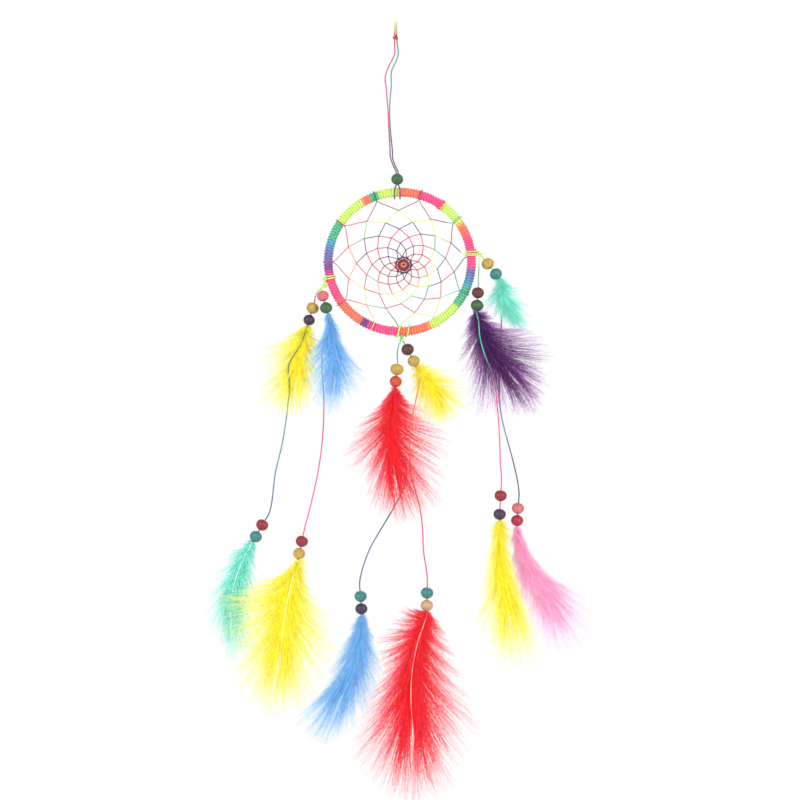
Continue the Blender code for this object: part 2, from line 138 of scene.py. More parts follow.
DYES = {
    "coral": dye(250, 124, 96), "hot_pink": dye(254, 84, 140), "orange": dye(250, 160, 100),
    "lime": dye(208, 242, 116), "green": dye(88, 188, 138), "teal": dye(86, 170, 186),
    "blue": dye(92, 146, 190), "violet": dye(120, 116, 176), "purple": dye(126, 74, 142),
    "magenta": dye(226, 72, 148), "rose": dye(206, 70, 112), "red": dye(206, 44, 66),
    "slate": dye(66, 72, 100), "plum": dye(112, 66, 104), "sea": dye(96, 144, 130),
    "moss": dye(86, 118, 78), "pale_green": dye(132, 180, 144), "steel_blue": dye(76, 112, 148),
    "aqua": dye(84, 194, 172), "bright_green": dye(96, 208, 112),
}


def dyed(shares, stops):
    """The colours at these shares of a length, blended between (share, dye name) stops."""
    at = [share for share, _ in stops]
    colours = np.array([DYES[name] for _, name in stops])
    return np.stack([np.interp(shares, at, colours[:, i]) for i in range(3)], axis=-1)


# %% [markdown]
# ## Laying a yarn
#
# A cord this thin still shows its twist, because two plies lie round each other like a rope. A smooth curve
# is drawn through the route's own points, a frame is carried along it without twisting, and each ply is a
# tube that winds round it. The mesh stores its dye and a place on the yarn, which the material reads.


# %% Smooth routes
def smooth_route(points, step):
    """Points at an even spacing on a centripetal curve through the route's own points."""
    route = np.array(points, float)
    ends = np.vstack([2 * route[0] - route[1], route, 2 * route[-1] - route[-2]])
    fine = []
    for corners in zip(ends, ends[1:], ends[2:], ends[3:]):
        knots = np.cumsum([0.0] + [np.linalg.norm(b - a) ** 0.5 for a, b in zip(corners, corners[1:])])
        for t in np.linspace(knots[1], knots[2], 12, endpoint=False):
            level = list(corners)
            for spans in (((0, 1), (1, 2), (2, 3)), ((0, 2), (1, 3)), ((1, 2),)):
                level = [
                    ((knots[high] - t) * a + (t - knots[low]) * b) / (knots[high] - knots[low])
                    for (low, high), a, b in zip(spans, level, level[1:])
                ]
            fine.append(level[0])
    fine = np.array(fine + [route[-1]])
    along = lengths_along(fine)
    even = np.linspace(0.0, along[-1], max(int(round(along[-1] / step)), 2) + 1)
    return np.stack([np.interp(even, along, fine[:, i]) for i in range(3)], axis=1)


def lengths_along(points):
    return np.concatenate([[0.0], np.cumsum(np.linalg.norm(np.diff(points, axis=0), axis=1))])


def shares_along(path):
    along = lengths_along(path)
    return along / along[-1]


def in_metres(points):
    """A route in millimetres about the ring's centre, as an array in the frame."""
    return np.array([place(*point) for point in points])


def moving_frame(path):
    """The direction, side and lift at each point of a path, carried along it without twisting."""
    ahead = np.gradient(path, axis=0)
    ahead /= np.linalg.norm(ahead, axis=1)[:, None]
    side = np.empty_like(path)
    first = np.cross(ahead[0], (0.0, 1.0, 0.0))
    if np.linalg.norm(first) < 0.1:
        first = np.cross(ahead[0], (1.0, 0.0, 0.0))
    side[0] = first / np.linalg.norm(first)
    for i in range(1, len(path)):
        carried = side[i - 1] - ahead[i] * (side[i - 1] @ ahead[i])
        side[i] = carried / np.linalg.norm(carried)
    return ahead, side, np.cross(ahead, side)


# %% Meshes with stored values
def solid(name, points, faces, material, **stored):
    """A mesh object with outward faces, smooth shading and values stored on its points."""
    mesh = bpy.data.meshes.new(name)
    mesh.from_pydata(points.tolist(), [], faces)
    mesh.validate()
    for key, values in stored.items():
        kind = "FLOAT_COLOR" if key == "dye" else "FLOAT_VECTOR"
        attribute = mesh.attributes.new(key, kind, "POINT")
        if key == "dye":
            values = np.hstack([values, np.ones((len(values), 1))])
        values = np.ascontiguousarray(values).ravel()
        attribute.data.foreach_set("color" if key == "dye" else "vector", values)
    mesh.shade_smooth()
    mesh.materials.append(material)
    made = bpy.data.objects.new(name, mesh)
    bpy.context.scene.collection.objects.link(made)
    return made


def tube_faces(rings, sides, first=0):
    """Quads for a tube of `rings` rings, with a face at each end, pointing outwards."""
    faces = []
    for i in range(rings - 1):
        here = first + i * sides
        faces += [
            (here + j, here + (j + 1) % sides, here + sides + (j + 1) % sides, here + sides + j)
            for j in range(sides)
        ]
    last = first + (rings - 1) * sides
    return faces + [tuple(first + j for j in reversed(range(sides))), tuple(last + j for j in range(sides))]


def yarn(name, path, diameter, lay, colours, material, sides=6, plies=2, ply_share=0.37):
    """A laid yarn along a path in metres. lay is the length of one turn of its plies."""
    along = lengths_along(path)
    _, side, lift = moving_frame(path)
    ply_radius = ply_share * diameter
    offset = diameter / 2 - ply_radius
    spin = math.tau * np.arange(sides) / sides
    points, faces, dyes, lays = [], [], [], []
    for ply in range(plies):
        turn = math.tau * (along / lay + ply / plies)
        centre = path + offset * (np.cos(turn)[:, None] * side + np.sin(turn)[:, None] * lift)
        angle = turn[:, None] + spin[None, :]
        rim = np.cos(angle)[..., None] * side[:, None] + np.sin(angle)[..., None] * lift[:, None]
        faces += tube_faces(len(path), sides, first=ply * len(path) * sides)
        points.append((centre[:, None] + ply_radius * rim).reshape(-1, 3))
        dyes.append(np.repeat(colours, sides, axis=0))
        around = np.tile(np.stack([np.cos(spin), np.sin(spin)], axis=1), (len(path), 1))
        lays.append(np.hstack([np.repeat(along / MM + 37.0 * ply, sides)[:, None], around]))
    return solid(name, np.vstack(points), faces, material, dye=np.vstack(dyes), lay=np.vstack(lays))


# %% [markdown]
# ## Spun fibre
#
# Close up, nylon cord is a bundle of filaments with a silky shine. One node group makes the filaments, as
# noise stretched along the yarn, and gives a shade and a height. Each cord material mixes the shade into
# the dye stored on its mesh and bumps its surface with the height.


# %% Node helpers
def new_group(name, inputs, outputs):
    group = bpy.data.node_groups.new(name, "ShaderNodeTree")
    for socket, kind, value in inputs:
        made = group.interface.new_socket(socket, in_out="INPUT", socket_type=kind)
        made.default_value = value
    for socket, kind in outputs:
        group.interface.new_socket(socket, in_out="OUTPUT", socket_type=kind)
    return group, group.nodes.new("NodeGroupInput"), group.nodes.new("NodeGroupOutput")


def node(tree, kind, **values):
    """A node with its settings, where a name starting with in_ sets an input by its index."""
    made = tree.nodes.new("ShaderNode" + kind)
    for key, value in values.items():
        if key.startswith("in_"):
            made.inputs[int(key[3:])].default_value = value
        else:
            setattr(made, key, value)
    return made


def attribute(tree, name):
    return node(tree, "Attribute", attribute_name=name)


def new_material(name, **sockets):
    """A material whose Principled shader has these plain values."""
    material = bpy.data.materials.new(name)
    material.use_nodes = True
    shader = material.node_tree.nodes["Principled BSDF"]
    for socket, value in sockets.items():
        shader.inputs[socket.replace("_", " ")].default_value = value
    return material, material.node_tree, shader


# %% Filament group
def make_filament_group():
    group, given, result = new_group(
        "filaments",
        [("Dye", "NodeSocketColor", (1, 1, 1, 1)), ("Fineness", "NodeSocketFloat", 3.0)],
        [("Colour", "NodeSocketColor"), ("Roughness", "NodeSocketFloat"), ("Height", "NodeSocketFloat")],
    )
    link = group.links.new
    lay = attribute(group, "lay")
    stretch = node(group, "VectorMath", operation="MULTIPLY", in_1=(0.35, 1.0, 1.0))
    strands = node(group, "TexNoise", in_3=3.0, in_4=0.6)
    link(lay.outputs["Vector"], stretch.inputs[0])
    link(stretch.outputs[0], strands.inputs["Vector"])
    link(given.outputs["Fineness"], strands.inputs["Scale"])
    shade = node(group, "MapRange", in_1=0.3, in_2=0.7, in_3=0.78, in_4=1.14)
    link(strands.outputs["Fac"], shade.inputs["Value"])
    tint = node(group, "VectorMath", operation="SCALE")
    link(given.outputs["Dye"], tint.inputs[0])
    link(shade.outputs["Result"], tint.inputs["Scale"])
    link(tint.outputs[0], result.inputs["Colour"])
    rough = node(group, "MapRange", in_1=0.3, in_2=0.7, in_3=0.62, in_4=0.38)
    link(strands.outputs["Fac"], rough.inputs["Value"])
    link(rough.outputs["Result"], result.inputs["Roughness"])
    link(strands.outputs["Fac"], result.inputs["Height"])
    return group


filaments = make_filament_group()


def surface_from(tree, shader, source, strength, distance):
    """Feeds a shader the colour, the roughness and, through a bump, the height that a group makes."""
    relief = node(tree, "Bump", in_0=strength, in_1=distance)
    tree.links.new(source.outputs["Colour"], shader.inputs["Base Color"])
    tree.links.new(source.outputs["Roughness"], shader.inputs["Roughness"])
    tree.links.new(source.outputs["Height"], relief.inputs["Height"])
    tree.links.new(relief.outputs["Normal"], shader.inputs["Normal"])


def cord_material(name, fineness, bump):
    material, tree, shader = new_material(
        name, Sheen_Weight=0.25, Sheen_Roughness=0.4, Specular_IOR_Level=0.4
    )
    fibre = node(tree, "Group", node_tree=filaments)
    fibre.inputs["Fineness"].default_value = fineness
    tree.links.new(attribute(tree, "dye").outputs["Color"], fibre.inputs["Dye"])
    surface_from(tree, shader, fibre, bump, 0.0001)
    return material


cord_fibre = cord_material("cord fibre", 3.0, 0.5)
thread_fibre = cord_material("thread fibre", 4.0, 0.3)
winding_fibre = cord_material("winding fibre", 2.6, 0.6)
print("cord materials", len(bpy.data.materials))

# %% [markdown]
# ## The six strands
#
# Each strand has an upper and a lower half, and each half is a cord, two beads and a feather. The cords'
# routes are the drawing's own points. A feather is drawn by its quill and by the outline of its down on
# the left and the right, from the bead to the tip.

# %% The strands' drawing
CORD = 0.9
KNOT_RADIUS = 1.1
KNOTS = {"left": (-44.1, -13.8), "bottom": (1.0, -45.4), "right": (47.4, 4.2)}
STRAIGHT_ABOVE = {"upper": 1.0, "lower": 6.0}
CORD_LAY, KNOT_LAY = 2.5, 3.0
ROUTE_STEP = 0.4
KNOT_INSET = 0.6
BELOW_BEAD, INSIDE_BEAD = 0.6, 1.2

STRANDS = {
    "left_outer": {
        "knot": "left",
        "upper": {
            "cord": [(-46.0, -15.0, 0.6), (-48.4, -17.4, 1.4), (-50.1, -21.0, 2.2)],
            "dye": [(0, "lime"), (0.5, "rose"), (1, "slate")],
            "beads": [("ochre", (-51.5, -27.1, 2.2), 7.5, 6.4), ("purple", (-53.6, -34.2, 2.2), 6.9, 6.0)],
            "feather": {
                "colour": "yellow",
                "quill": [(-57.0, -46.0), (-60.0, -58.0), (-61.8, -72.0), (-62.4, -84.5)],
            },
        },
        "lower": {
            "start_back": -1.2,
            "cord": [
                (-58.6, -49.0, 0.2), (-62.8, -55.6, 0.1), (-65.6, -60.9, 0.1), (-65.7, -66.8, 0.1),
                (-65.0, -74.0, 0.2), (-66.0, -84.0, 0.4), (-67.4, -95.0, 0.8), (-69.6, -108.0, 1.2),
                (-73.4, -124.0, 1.6),
            ],
            "dye": [(0, "moss"), (0.25, "moss"), (0.5, "sea"), (0.75, "steel_blue"), (1, "slate")],
            "beads": [("crimson", (-81.3, -155.3, 2.0), 7.3, 6.4), ("teal", (-85.1, -162.2, 2.0), 7.3, 6.4)],
            "feather": {
                "colour": "aqua",
                "quill": [
                    (-92.5, -175.9), (-97.2, -187.7), (-100.2, -202.5), (-101.4, -217.2), (-99.6, -232.0),
                ],
            },
        },
    },
    "left_inner": {
        "knot": "left",
        "upper": {
            "cord": [],
            "dye": [(0, "lime"), (1, "slate")],
            "beads": [("rose", (-45.3, -20.2, -2.2), 7.0, 6.0), ("green", (-43.4, -27.2, -2.2), 7.3, 6.4)],
            "feather": {
                "colour": "blue",
                "quill": [(-40.6, -43.2), (-38.8, -57.9), (-37.1, -72.7), (-38.5, -84.5)],
            },
        },
        "lower": {
            "start_back": 1.2,
            "cord": [
                (-43.6, -42.0, -0.1), (-45.4, -52.0, 0.1), (-46.0, -62.0, 0.1), (-45.2, -74.0, 0.0),
                (-44.8, -86.0, -0.3), (-45.2, -98.0, -0.8), (-46.4, -112.0, -1.2), (-49.0, -128.0, -1.6),
                (-52.4, -143.0, -2.0),
            ],
            "dye": [(0, "steel_blue"), (0.3, "steel_blue"), (0.42, "rose"), (1, "hot_pink")],
            "beads": [
                ("crimson", (-57.7, -164.7, -2.0), 7.3, 6.4), ("ochre", (-59.3, -172.0, -2.0), 7.2, 6.4),
            ],
            "feather": {
                "colour": "yellow",
                "quill": [
                    (-64.2, -190.7), (-67.7, -208.4), (-70.1, -229.0), (-71.3, -249.7), (-69.5, -263.0),
                ],
            },
        },
    },
    "middle_left": {
        "knot": "bottom",
        "upper": {
            "cord": [(-0.7, -49.4, -1.2), (-1.5, -54.0, -2.0)],
            "dye": [(0, "bright_green"), (0.3, "sea"), (1, "sea")],
            "beads": [("ochre", (-1.7, -63.4, -2.2), 8.0, 6.6), ("orange", (-2.4, -70.6, -2.2), 7.2, 6.4)],
            "feather": {
                "colour": "red",
                "quill": [(-4.6, -88.0), (-5.6, -102.0), (-4.2, -120.0), (-0.6, -138.0), (1.2, -153.0)],
            },
        },
        "lower": {
            "start_back": 1.2,
            "cord": [
                (-3.2, -84.0, 0.0), (-2.6, -98.0, 0.2), (0.2, -112.0, 0.6), (3.6, -124.0, 1.4),
                (3.2, -131.0, 2.2), (0.2, -138.0, 2.9), (-5.8, -149.0, 3.8), (-12.4, -160.0, 4.6),
                (-18.4, -171.0, 5.2),
            ],
            "dye": [(0, "rose"), (0.45, "plum"), (0.6, "slate"), (0.75, "steel_blue"), (1, "slate")],
            "beads": [("teal", (-23.2, -197.8, 5.5), 7.4, 6.4), ("purple", (-22.8, -205.2, 5.5), 7.3, 6.4)],
            "feather": {
                "colour": "blue",
                "quill": [
                    (-23.5, -223.1), (-27.0, -237.9), (-32.3, -252.7), (-41.2, -265.6), (-51.8, -275.1),
                ],
            },
        },
    },
    "middle_right": {
        "knot": "bottom",
        "upper": {
            "cord": [],
            "dye": [(0, "bright_green"), (1, "sea")],
            "beads": [("brown", (4.6, -51.6, 2.2), 7.6, 6.6), ("ochre", (8.2, -58.4, 2.2), 7.4, 6.4)],
            "feather": {
                "colour": "yellow",
                "quill": [(14.4, -69.0), (19.6, -75.6), (25.5, -82.7), (29.6, -89.0)],
            },
        },
        "lower": {
            "start_back": -1.2,
            "cord": [
                (11.5, -69.0, 0.0), (10.4, -77.0, -2.0), (8.0, -87.9, -4.1), (6.4, -96.3, -4.7),
                (5.8, -103.0, -4.8), (5.9, -114.0, -4.9), (6.6, -125.0, -5.0), (9.0, -134.5, -5.2),
                (12.0, -146.0, -5.4), (13.4, -158.0, -5.5), (13.9, -170.0, -5.5),
            ],
            "dye": [(0, "orange"), (0.1, "coral"), (0.5, "red"), (0.7, "rose"), (1, "rose")],
            "beads": [("teal", (16.0, -194.8, -5.5), 7.4, 6.4), ("tan", (15.9, -202.2, -5.5), 7.3, 6.4)],
            "feather": {
                "colour": "red",
                "quill": [
                    (10.7, -223.1), (7.2, -240.8), (6.6, -261.5), (8.4, -282.1), (7.2, -302.8), (4.8, -314.0),
                ],
            },
        },
    },
    "right_inner": {
        "knot": "right",
        "upper": {
            "cord": [(46.6, 0.4, -0.7), (46.6, -3.8, -1.4), (46.3, -9.0, -2.1)],
            "dye": [(0, "lime"), (0.3, "pale_green"), (1, "sea")],
            "beads": [("brown", (46.0, -18.3, -2.2), 7.2, 6.4), ("green", (45.5, -25.8, -2.2), 7.6, 6.6)],
            "feather": {
                "colour": "purple",
                "quill": [
                    (47.9, -39.5), (51.4, -49.0), (57.3, -57.5), (65.6, -63.2), (73.3, -68.4), (78.0, -77.0),
                ],
            },
        },
        "lower": {
            "start_back": -1.2,
            "cord": [
                (46.4, -36.0, -4.4), (47.0, -44.0, -4.7), (49.6, -54.0, -4.7), (53.4, -63.0, -4.7),
                (55.6, -71.0, -4.5), (56.9, -81.0, -4.0), (57.9, -91.0, -3.4), (58.7, -104.0, -2.6),
                (59.2, -118.0, -2.1),
            ],
            "dye": [(0, "aqua"), (0.2, "aqua"), (0.32, "plum"), (0.5, "hot_pink"), (1, "rose")],
            "beads": [
                ("crimson", (59.4, -137.8, -2.0), 7.3, 6.4), ("purple", (58.8, -148.8, -2.0), 7.3, 6.4),
            ],
            "feather": {
                "colour": "yellow",
                "quill": [(58.5, -167.1), (60.9, -184.8), (64.4, -205.4), (67.4, -223.1), (69.1, -238.0)],
            },
        },
    },
    "right_outer": {
        "knot": "right",
        "upper": {
            "cord": [],
            "dye": [(0, "lime"), (1, "lime")],
            "beads": [("ochre", (52.0, -0.9, 2.2), 7.5, 6.4), ("teal", (56.8, -7.0, 2.2), 7.5, 6.4)],
            "feather": {
                "colour": "aqua",
                "quill": [(60.6, -18.4), (62.9, -26.7), (65.8, -34.3), (68.0, -41.0)],
            },
        },
        "lower": {
            "start_back": 1.2,
            "cord": [
                (59.4, -19.0, 4.4), (60.2, -32.0, 4.4), (59.6, -46.0, 4.4), (58.9, -60.0, 4.2),
                (58.8, -74.0, 4.0), (59.2, -85.0, 3.8), (61.4, -97.0, 3.4), (64.6, -109.0, 2.8),
                (68.0, -122.0, 2.2),
            ],
            "dye": [(0, "aqua"), (0.3, "steel_blue"), (0.6, "violet"), (0.8, "slate"), (1, "slate")],
            "beads": [("rose", (69.8, -145.4, 2.0), 7.3, 6.4), ("magenta", (69.3, -152.7, 2.0), 7.3, 6.4)],
            "feather": {
                "colour": "pink",
                "quill": [(72.1, -170.0), (78.0, -184.8), (85.7, -198.4), (95.7, -210.2), (106.3, -220.2)],
            },
        },
    },
}

# %% [markdown]
# ## The strands' cords
#
# A cord runs from its knot, or from the bead above, down through the loose bead and into the fixed bead,
# where it is glued with the quill. The lower cords are long enough to be free cords, and each one's length
# is measured and printed.


# %% Cord routes
def bead_line(spec):
    """The centres of a half strand's two beads and the direction from the loose to the fixed one."""
    top, bottom = (np.array(bead[1]) for bead in spec["beads"])
    return top, bottom, (bottom - top) / np.linalg.norm(bottom - top)


def cord_start(spec, half):
    """Where a half strand's cord leaves its knot or the bead above it."""
    if half == "upper":
        knot = np.array((*KNOTS[spec["knot"]], 0.0))
        first = np.array((spec["upper"]["cord"] or [spec["upper"]["beads"][0][1]])[0])
        return knot + (first - knot) / np.linalg.norm(first - knot) * KNOT_INSET * KNOT_RADIUS
    _, above, down = bead_line(spec["upper"])
    start = above + down * (spec["upper"]["beads"][1][3] / 2 + BELOW_BEAD)
    start[2] += spec["lower"]["start_back"]
    return start


def cord_route(spec, half):
    """The cord's route in millimetres, through the loose bead and into the fixed one."""
    top, bottom, down = bead_line(spec[half])
    loose_height = spec[half]["beads"][0][3]
    straight = top - down * (loose_height / 2 + STRAIGHT_ABOVE[half])
    start = cord_start(spec, half)
    lead = [start]
    if half == "lower":
        _, above, above_down = bead_line(spec["upper"])
        inside = above + above_down * (spec["upper"]["beads"][1][3] / 2 - INSIDE_BEAD)
        inside[2] += 0.4 * spec["lower"]["start_back"]
        lead = [inside, start]
    return smooth_route([*lead, *spec[half]["cord"], straight, top, bottom - down * 0.5], ROUTE_STEP)


# %% Strand cords
cords, cord_lengths = {}, {}
for strand, spec in STRANDS.items():
    for half in ("upper", "lower"):
        name = f"{strand}_{half}"
        path = in_metres(cord_route(spec, half))
        colours = dyed(shares_along(path), spec[half]["dye"])
        line = yarn(name + "_yarn", path, CORD * MM, CORD_LAY * MM, colours, cord_fibre)
        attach(line, name)
        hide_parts(name + "_cord")
        cords[name], cord_lengths[name] = (line, path), lengths_along(path)[-1]
print("lower cords, mm:", {n: round(v / MM) for n, v in cord_lengths.items() if n.endswith("lower")})

# %% [markdown]
# ## The hanging cord
#
# A doubled cord hangs the whole thing: both runs go down behind the ring, round it and up its front, and the
# loop that joins them lies across the front of the bead. At the top the two ends are tied in one knot. The
# loop's middle is where the two runs part, so each run is a free cord from there to the knot.

# %% Hanging cord
WRAP_OUTER = 2.75
HITCH_CLEARANCE = 0.6
HITCH_PRONGS = (-3.1, 0.1)
HANG_KNOT = (-2.5, 132.4)
HANG_LEFT_RUN = [
    (-2.6, 143.0, -0.5), (-2.9, 138.0, -0.6), (-3.1, 132.4, -0.6), (-3.1, 128.0, -0.6), (-3.0, 122.7, -0.6),
    (-6.3, 115.6, -0.7), (-8.6, 109.0, -0.8), (-7.9, 101.4, -0.8), (-7.0, 89.6, -0.8), (-6.5, 78.5, -0.8),
    (-5.8, 68.1, -0.8), (-5.5, 61.5, -0.7), (-3.8, 56.6, -0.6), (-2.15, 52.8, -0.3), (-2.1, 48.6, 0.1),
    (-2.1, 46.6, 0.3), (-2.3, 44.9, 0.9),
]
HANG_RIGHT_RUN = [
    (-0.7, 44.9, 0.9), (-0.9, 46.6, 0.3), (-0.9, 48.6, 0.1), (-0.95, 52.8, 0.3), (-2.6, 56.6, 0.6),
    (-4.2, 61.0, 0.7), (-4.4, 66.0, 0.8), (-5.4, 76.0, 0.8), (-6.0, 86.0, 0.8), (-5.8, 95.0, 0.8),
    (-5.0, 104.3, 0.8), (-4.9, 112.4, 0.7), (-2.3, 118.3, 0.6), (-0.9, 122.7, 0.6), (-1.4, 128.0, 0.6),
    (-1.9, 132.4, 0.6), (-1.9, 138.0, 0.6), (-1.6, 141.6, 0.5),
]


def hitch_turn(right, angles):
    """Points round the ring's top, by angle from straight up towards the back."""
    near = WRAP_OUTER + HITCH_CLEARANCE + CORD / 2
    return [
        (right, RING_HALF_HEIGHT + near * math.cos(math.radians(a)), near * math.sin(math.radians(a)))
        for a in angles
    ]


under = list(range(52, 285, 21))
left_prong, right_prong = HITCH_PRONGS
loop_top = ((left_prong + right_prong) / 2, 45.9, -3.9)
runs = {
    "left": (
        [
            loop_top, (left_prong + 0.5, 44.0, -3.8), *hitch_turn(left_prong, under[::-1]),
            *HANG_LEFT_RUN[::-1],
        ],
        [(0, "slate"), (0.4, "plum"), (0.5, "rose"), (0.85, "rose"), (0.93, "red"), (1, "lime")],
    ),
    "right": (
        [loop_top, (right_prong - 0.5, 44.0, -3.8), *hitch_turn(right_prong, under[::-1]), *HANG_RIGHT_RUN],
        [(0, "slate"), (0.42, "plum"), (0.55, "sea"), (0.85, "sea"), (0.93, "moss"), (1, "lime")],
    ),
}
for run, (points, stops) in runs.items():
    path = in_metres(smooth_route(points, ROUTE_STEP))
    colours = dyed(shares_along(path), stops)
    line = yarn(f"hanging_run_{run}", path, CORD * MM, CORD_LAY * MM, colours, cord_fibre)
    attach(line, "hanger")
    print("hanging run", run, round(lengths_along(path)[-1] / MM), "mm")
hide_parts("hanging_cord")

# %% [markdown]
# ## Knots
#
# A knot is the same yarn, drawn round the trefoil that an overhand knot is. It is pulled down to a small
# firm lump by making the trefoil hardly bigger than the yarn is thick.


# %% Knots
def trefoil(centre, size, depth, turn=0.0, steps=90):
    """A closed overhand knot's line, in metres. size is its half width."""
    t = np.linspace(0, math.tau, steps)
    flat = np.stack([np.sin(t) + 2 * np.sin(2 * t), np.cos(t) - 2 * np.cos(2 * t)], axis=1) * size / 3
    c, s = math.cos(turn), math.sin(turn)
    right, up = flat[:, 0] * c - flat[:, 1] * s, flat[:, 0] * s + flat[:, 1] * c
    return np.stack([right, -np.sin(3 * t) * depth, up], axis=1) * MM + place(*centre)


def knot(name, body, node_name, centre, size, stops, turn):
    path = trefoil(centre, size, 0.62 * size, turn)
    made = yarn(name, path, CORD * MM, KNOT_LAY * MM, dyed(shares_along(path), stops), cord_fibre)
    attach(made, body)
    if node_name:
        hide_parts(node_name)
    return made


KNOT_SIZE, TOP_KNOT_SIZE = 1.15, 1.35
KNOT_LOOKS = {
    "left": ([(0, "lime"), (1, "lime")], 0.4),
    "bottom": ([(0, "bright_green"), (0.5, "lime"), (1, "bright_green")], 1.1),
    "right": ([(0, "lime"), (1, "lime")], 2.0),
}
for which, (stops, turn) in KNOT_LOOKS.items():
    name = which + "_knot"
    knot(name + "_yarn", name + "_body", name, KNOTS[which], KNOT_SIZE, stops, turn)
stops = [(0, "red"), (0.45, "red"), (0.55, "moss"), (1, "sea")]
top_knot = knot("top_knot_yarn", "hanger", None, HANG_KNOT, TOP_KNOT_SIZE, stops, 0.8)

# %% [markdown]
# ## Ties on the ring
#
# Each pair of strands is held by two turns of lime cord round the ring, with an end that runs to the knot.

# %% Ties
TIES = {
    "left": {"degrees": 256.6, "pitch": 1.35, "from": 0.0},
    "bottom": {"degrees": 178.9, "pitch": 5.6, "from": math.pi},
    "right": {"degrees": 82.3, "pitch": 1.35, "from": 0.0},
}
TIE_TURNS = 2
TIE_STEPS = 14
TIE_RADIUS = 3.3
TIE_END_RADIUS = 4.2

for side_name, spec in TIES.items():
    points = []
    steps = TIE_STEPS * TIE_TURNS
    for i in range(steps + 1):
        share = i / steps
        around = spec["from"] + math.tau * TIE_TURNS * share
        shift = (share - 0.5) * TIE_TURNS * spec["pitch"]
        points.append(ring_point(spec["degrees"], TIE_RADIUS, around, shift))
    end = np.array((*KNOTS[side_name], 0.0))
    outside = np.array(ring_point(spec["degrees"], TIE_END_RADIUS))
    if side_name == "bottom":
        points = [end, *points]
        stops = [(0, "bright_green"), (0.4, "lime"), (1, "lime")]
    else:
        points = [end, outside, *points, outside + (0.0, 0.0, 0.5), end + (0.0, 0.0, 0.5)]
        stops = [(0, "lime"), (1, "lime")]
    path = in_metres(smooth_route(points, ROUTE_STEP))
    colours = dyed(shares_along(path), stops)
    tie = yarn(side_name + "_lashing", path, CORD * MM, KNOT_LAY * MM, colours, cord_fibre)
    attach(tie, "hoop")
    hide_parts(side_name + "_tie")

# %% [markdown]
# ## The wound ring
#
# About 160 close turns of thick two-ply cord cover the wire. The line is a helix whose axis is the ring
# itself, and three turns of the plies for each turn round the wire put their bumps in rows along the ring,
# as on the real one. The cord's two ends are tucked in at a small bulge.

# %% Winding
WINDINGS = 160
WINDING_STEPS = 24
WINDING_RADIUS = 2.08
WINDING_CORD = 1.62
PLY_TURNS = 3.02
PRESSED_SIDES, PRESSED_STEPS = 12, 4
# How much darker the sleeve under the turns is than the winding: painted shade in the gaps between the turns.
GROOVE_SHADE_PAINTED = 0.8
PRESSED_RADIUS, PRESSED_RIDGE = 2.12, 0.1
SEAM_DEGREES = 35.5
BULGE, BULGE_DEGREES = 0.65, 2.6
WINDING_DYE = [
    (0, "coral"), (14, "coral"), (16, "hot_pink"), (36, "hot_pink"), (38, "lime"), (55, "lime"),
    (58, "orange"), (61, "coral"), (66, "coral"), (70, "hot_pink"), (93, "hot_pink"), (97, "violet"),
    (101, "violet"), (104, "blue"), (109, "teal"), (114, "green"), (127, "green"), (130, "lime"),
    (153, "lime"), (156, "orange"), (158, "coral"), (178, "coral"), (183, "hot_pink"), (198, "hot_pink"),
    (202, "magenta"), (206, "magenta"), (207, "purple"), (212, "purple"), (213, "coral"), (232, "coral"),
    (240, "hot_pink"), (255, "hot_pink"), (260, "magenta"), (265, "purple"), (270, "violet"),
    (277, "violet"), (282, "blue"), (287, "teal"), (291, "green"), (303, "green"), (305, "lime"),
    (327, "lime"), (329, "orange"), (331, "coral"), (335, "coral"), (336, "green"), (341, "green"),
    (344, "lime"), (358, "lime"), (360, "coral"),
]

count = WINDINGS * WINDING_STEPS
degrees = SEAM_DEGREES + 360.0 * np.arange(count + 1) / count
swell = BULGE * np.exp(-(((degrees - SEAM_DEGREES + 180.0) % 360.0 - 180.0) / BULGE_DEGREES) ** 2)
helix = [
    ring_point(turn, WINDING_RADIUS + extra, math.tau * i / WINDING_STEPS)
    for i, (turn, extra) in enumerate(zip(degrees, swell))
]
path = in_metres(helix)
lay = lengths_along(path)[-1] / (PLY_TURNS * WINDINGS)
colours = dyed(degrees % 360.0, WINDING_DYE)
winding = yarn("ring_winding", path, WINDING_CORD * MM, lay, colours, winding_fibre, ply_share=0.34)
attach(winding, "hoop")
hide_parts("ring_wrap")

count = WINDINGS * PRESSED_STEPS
pressed_degrees = SEAM_DEGREES + 360.0 * np.arange(count + 1) / count
ridge = PRESSED_RADIUS + PRESSED_RIDGE * np.cos(math.tau * np.arange(count + 1) / PRESSED_STEPS)
around = math.tau * np.arange(PRESSED_SIDES) / PRESSED_SIDES
rings = [[ring_point(turn, radius, a) for a in around] for turn, radius in zip(pressed_degrees, ridge)]
lay_values = [[(i * 0.4, math.cos(a), math.sin(a)) for a in around] for i in range(len(rings))]
# The sleeve shows only in the gaps between the turns, and its dye is darkened there: painted shade in the
# grooves.
colours = dyed(pressed_degrees % 360.0, WINDING_DYE) * GROOVE_SHADE_PAINTED
groove_shade_sleeve = solid(
    "ring_winding_groove_shade", in_metres([p for ring in rings for p in ring]),
    tube_faces(len(rings), PRESSED_SIDES), winding_fibre,
    dye=np.repeat(colours, PRESSED_SIDES, axis=0), lay=np.array(lay_values).reshape(-1, 3),
)
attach(groove_shade_sleeve, "hoop")
print("winding cord", round(lengths_along(path)[-1], 2), "m, faces", len(winding.data.polygons))

# %% [markdown]
# ## The wire under the winding
#
# The hoop's wire can't be seen, but it is there, so it gets a plain drawn-steel finish: fine scratches
# along the wire in its roughness.


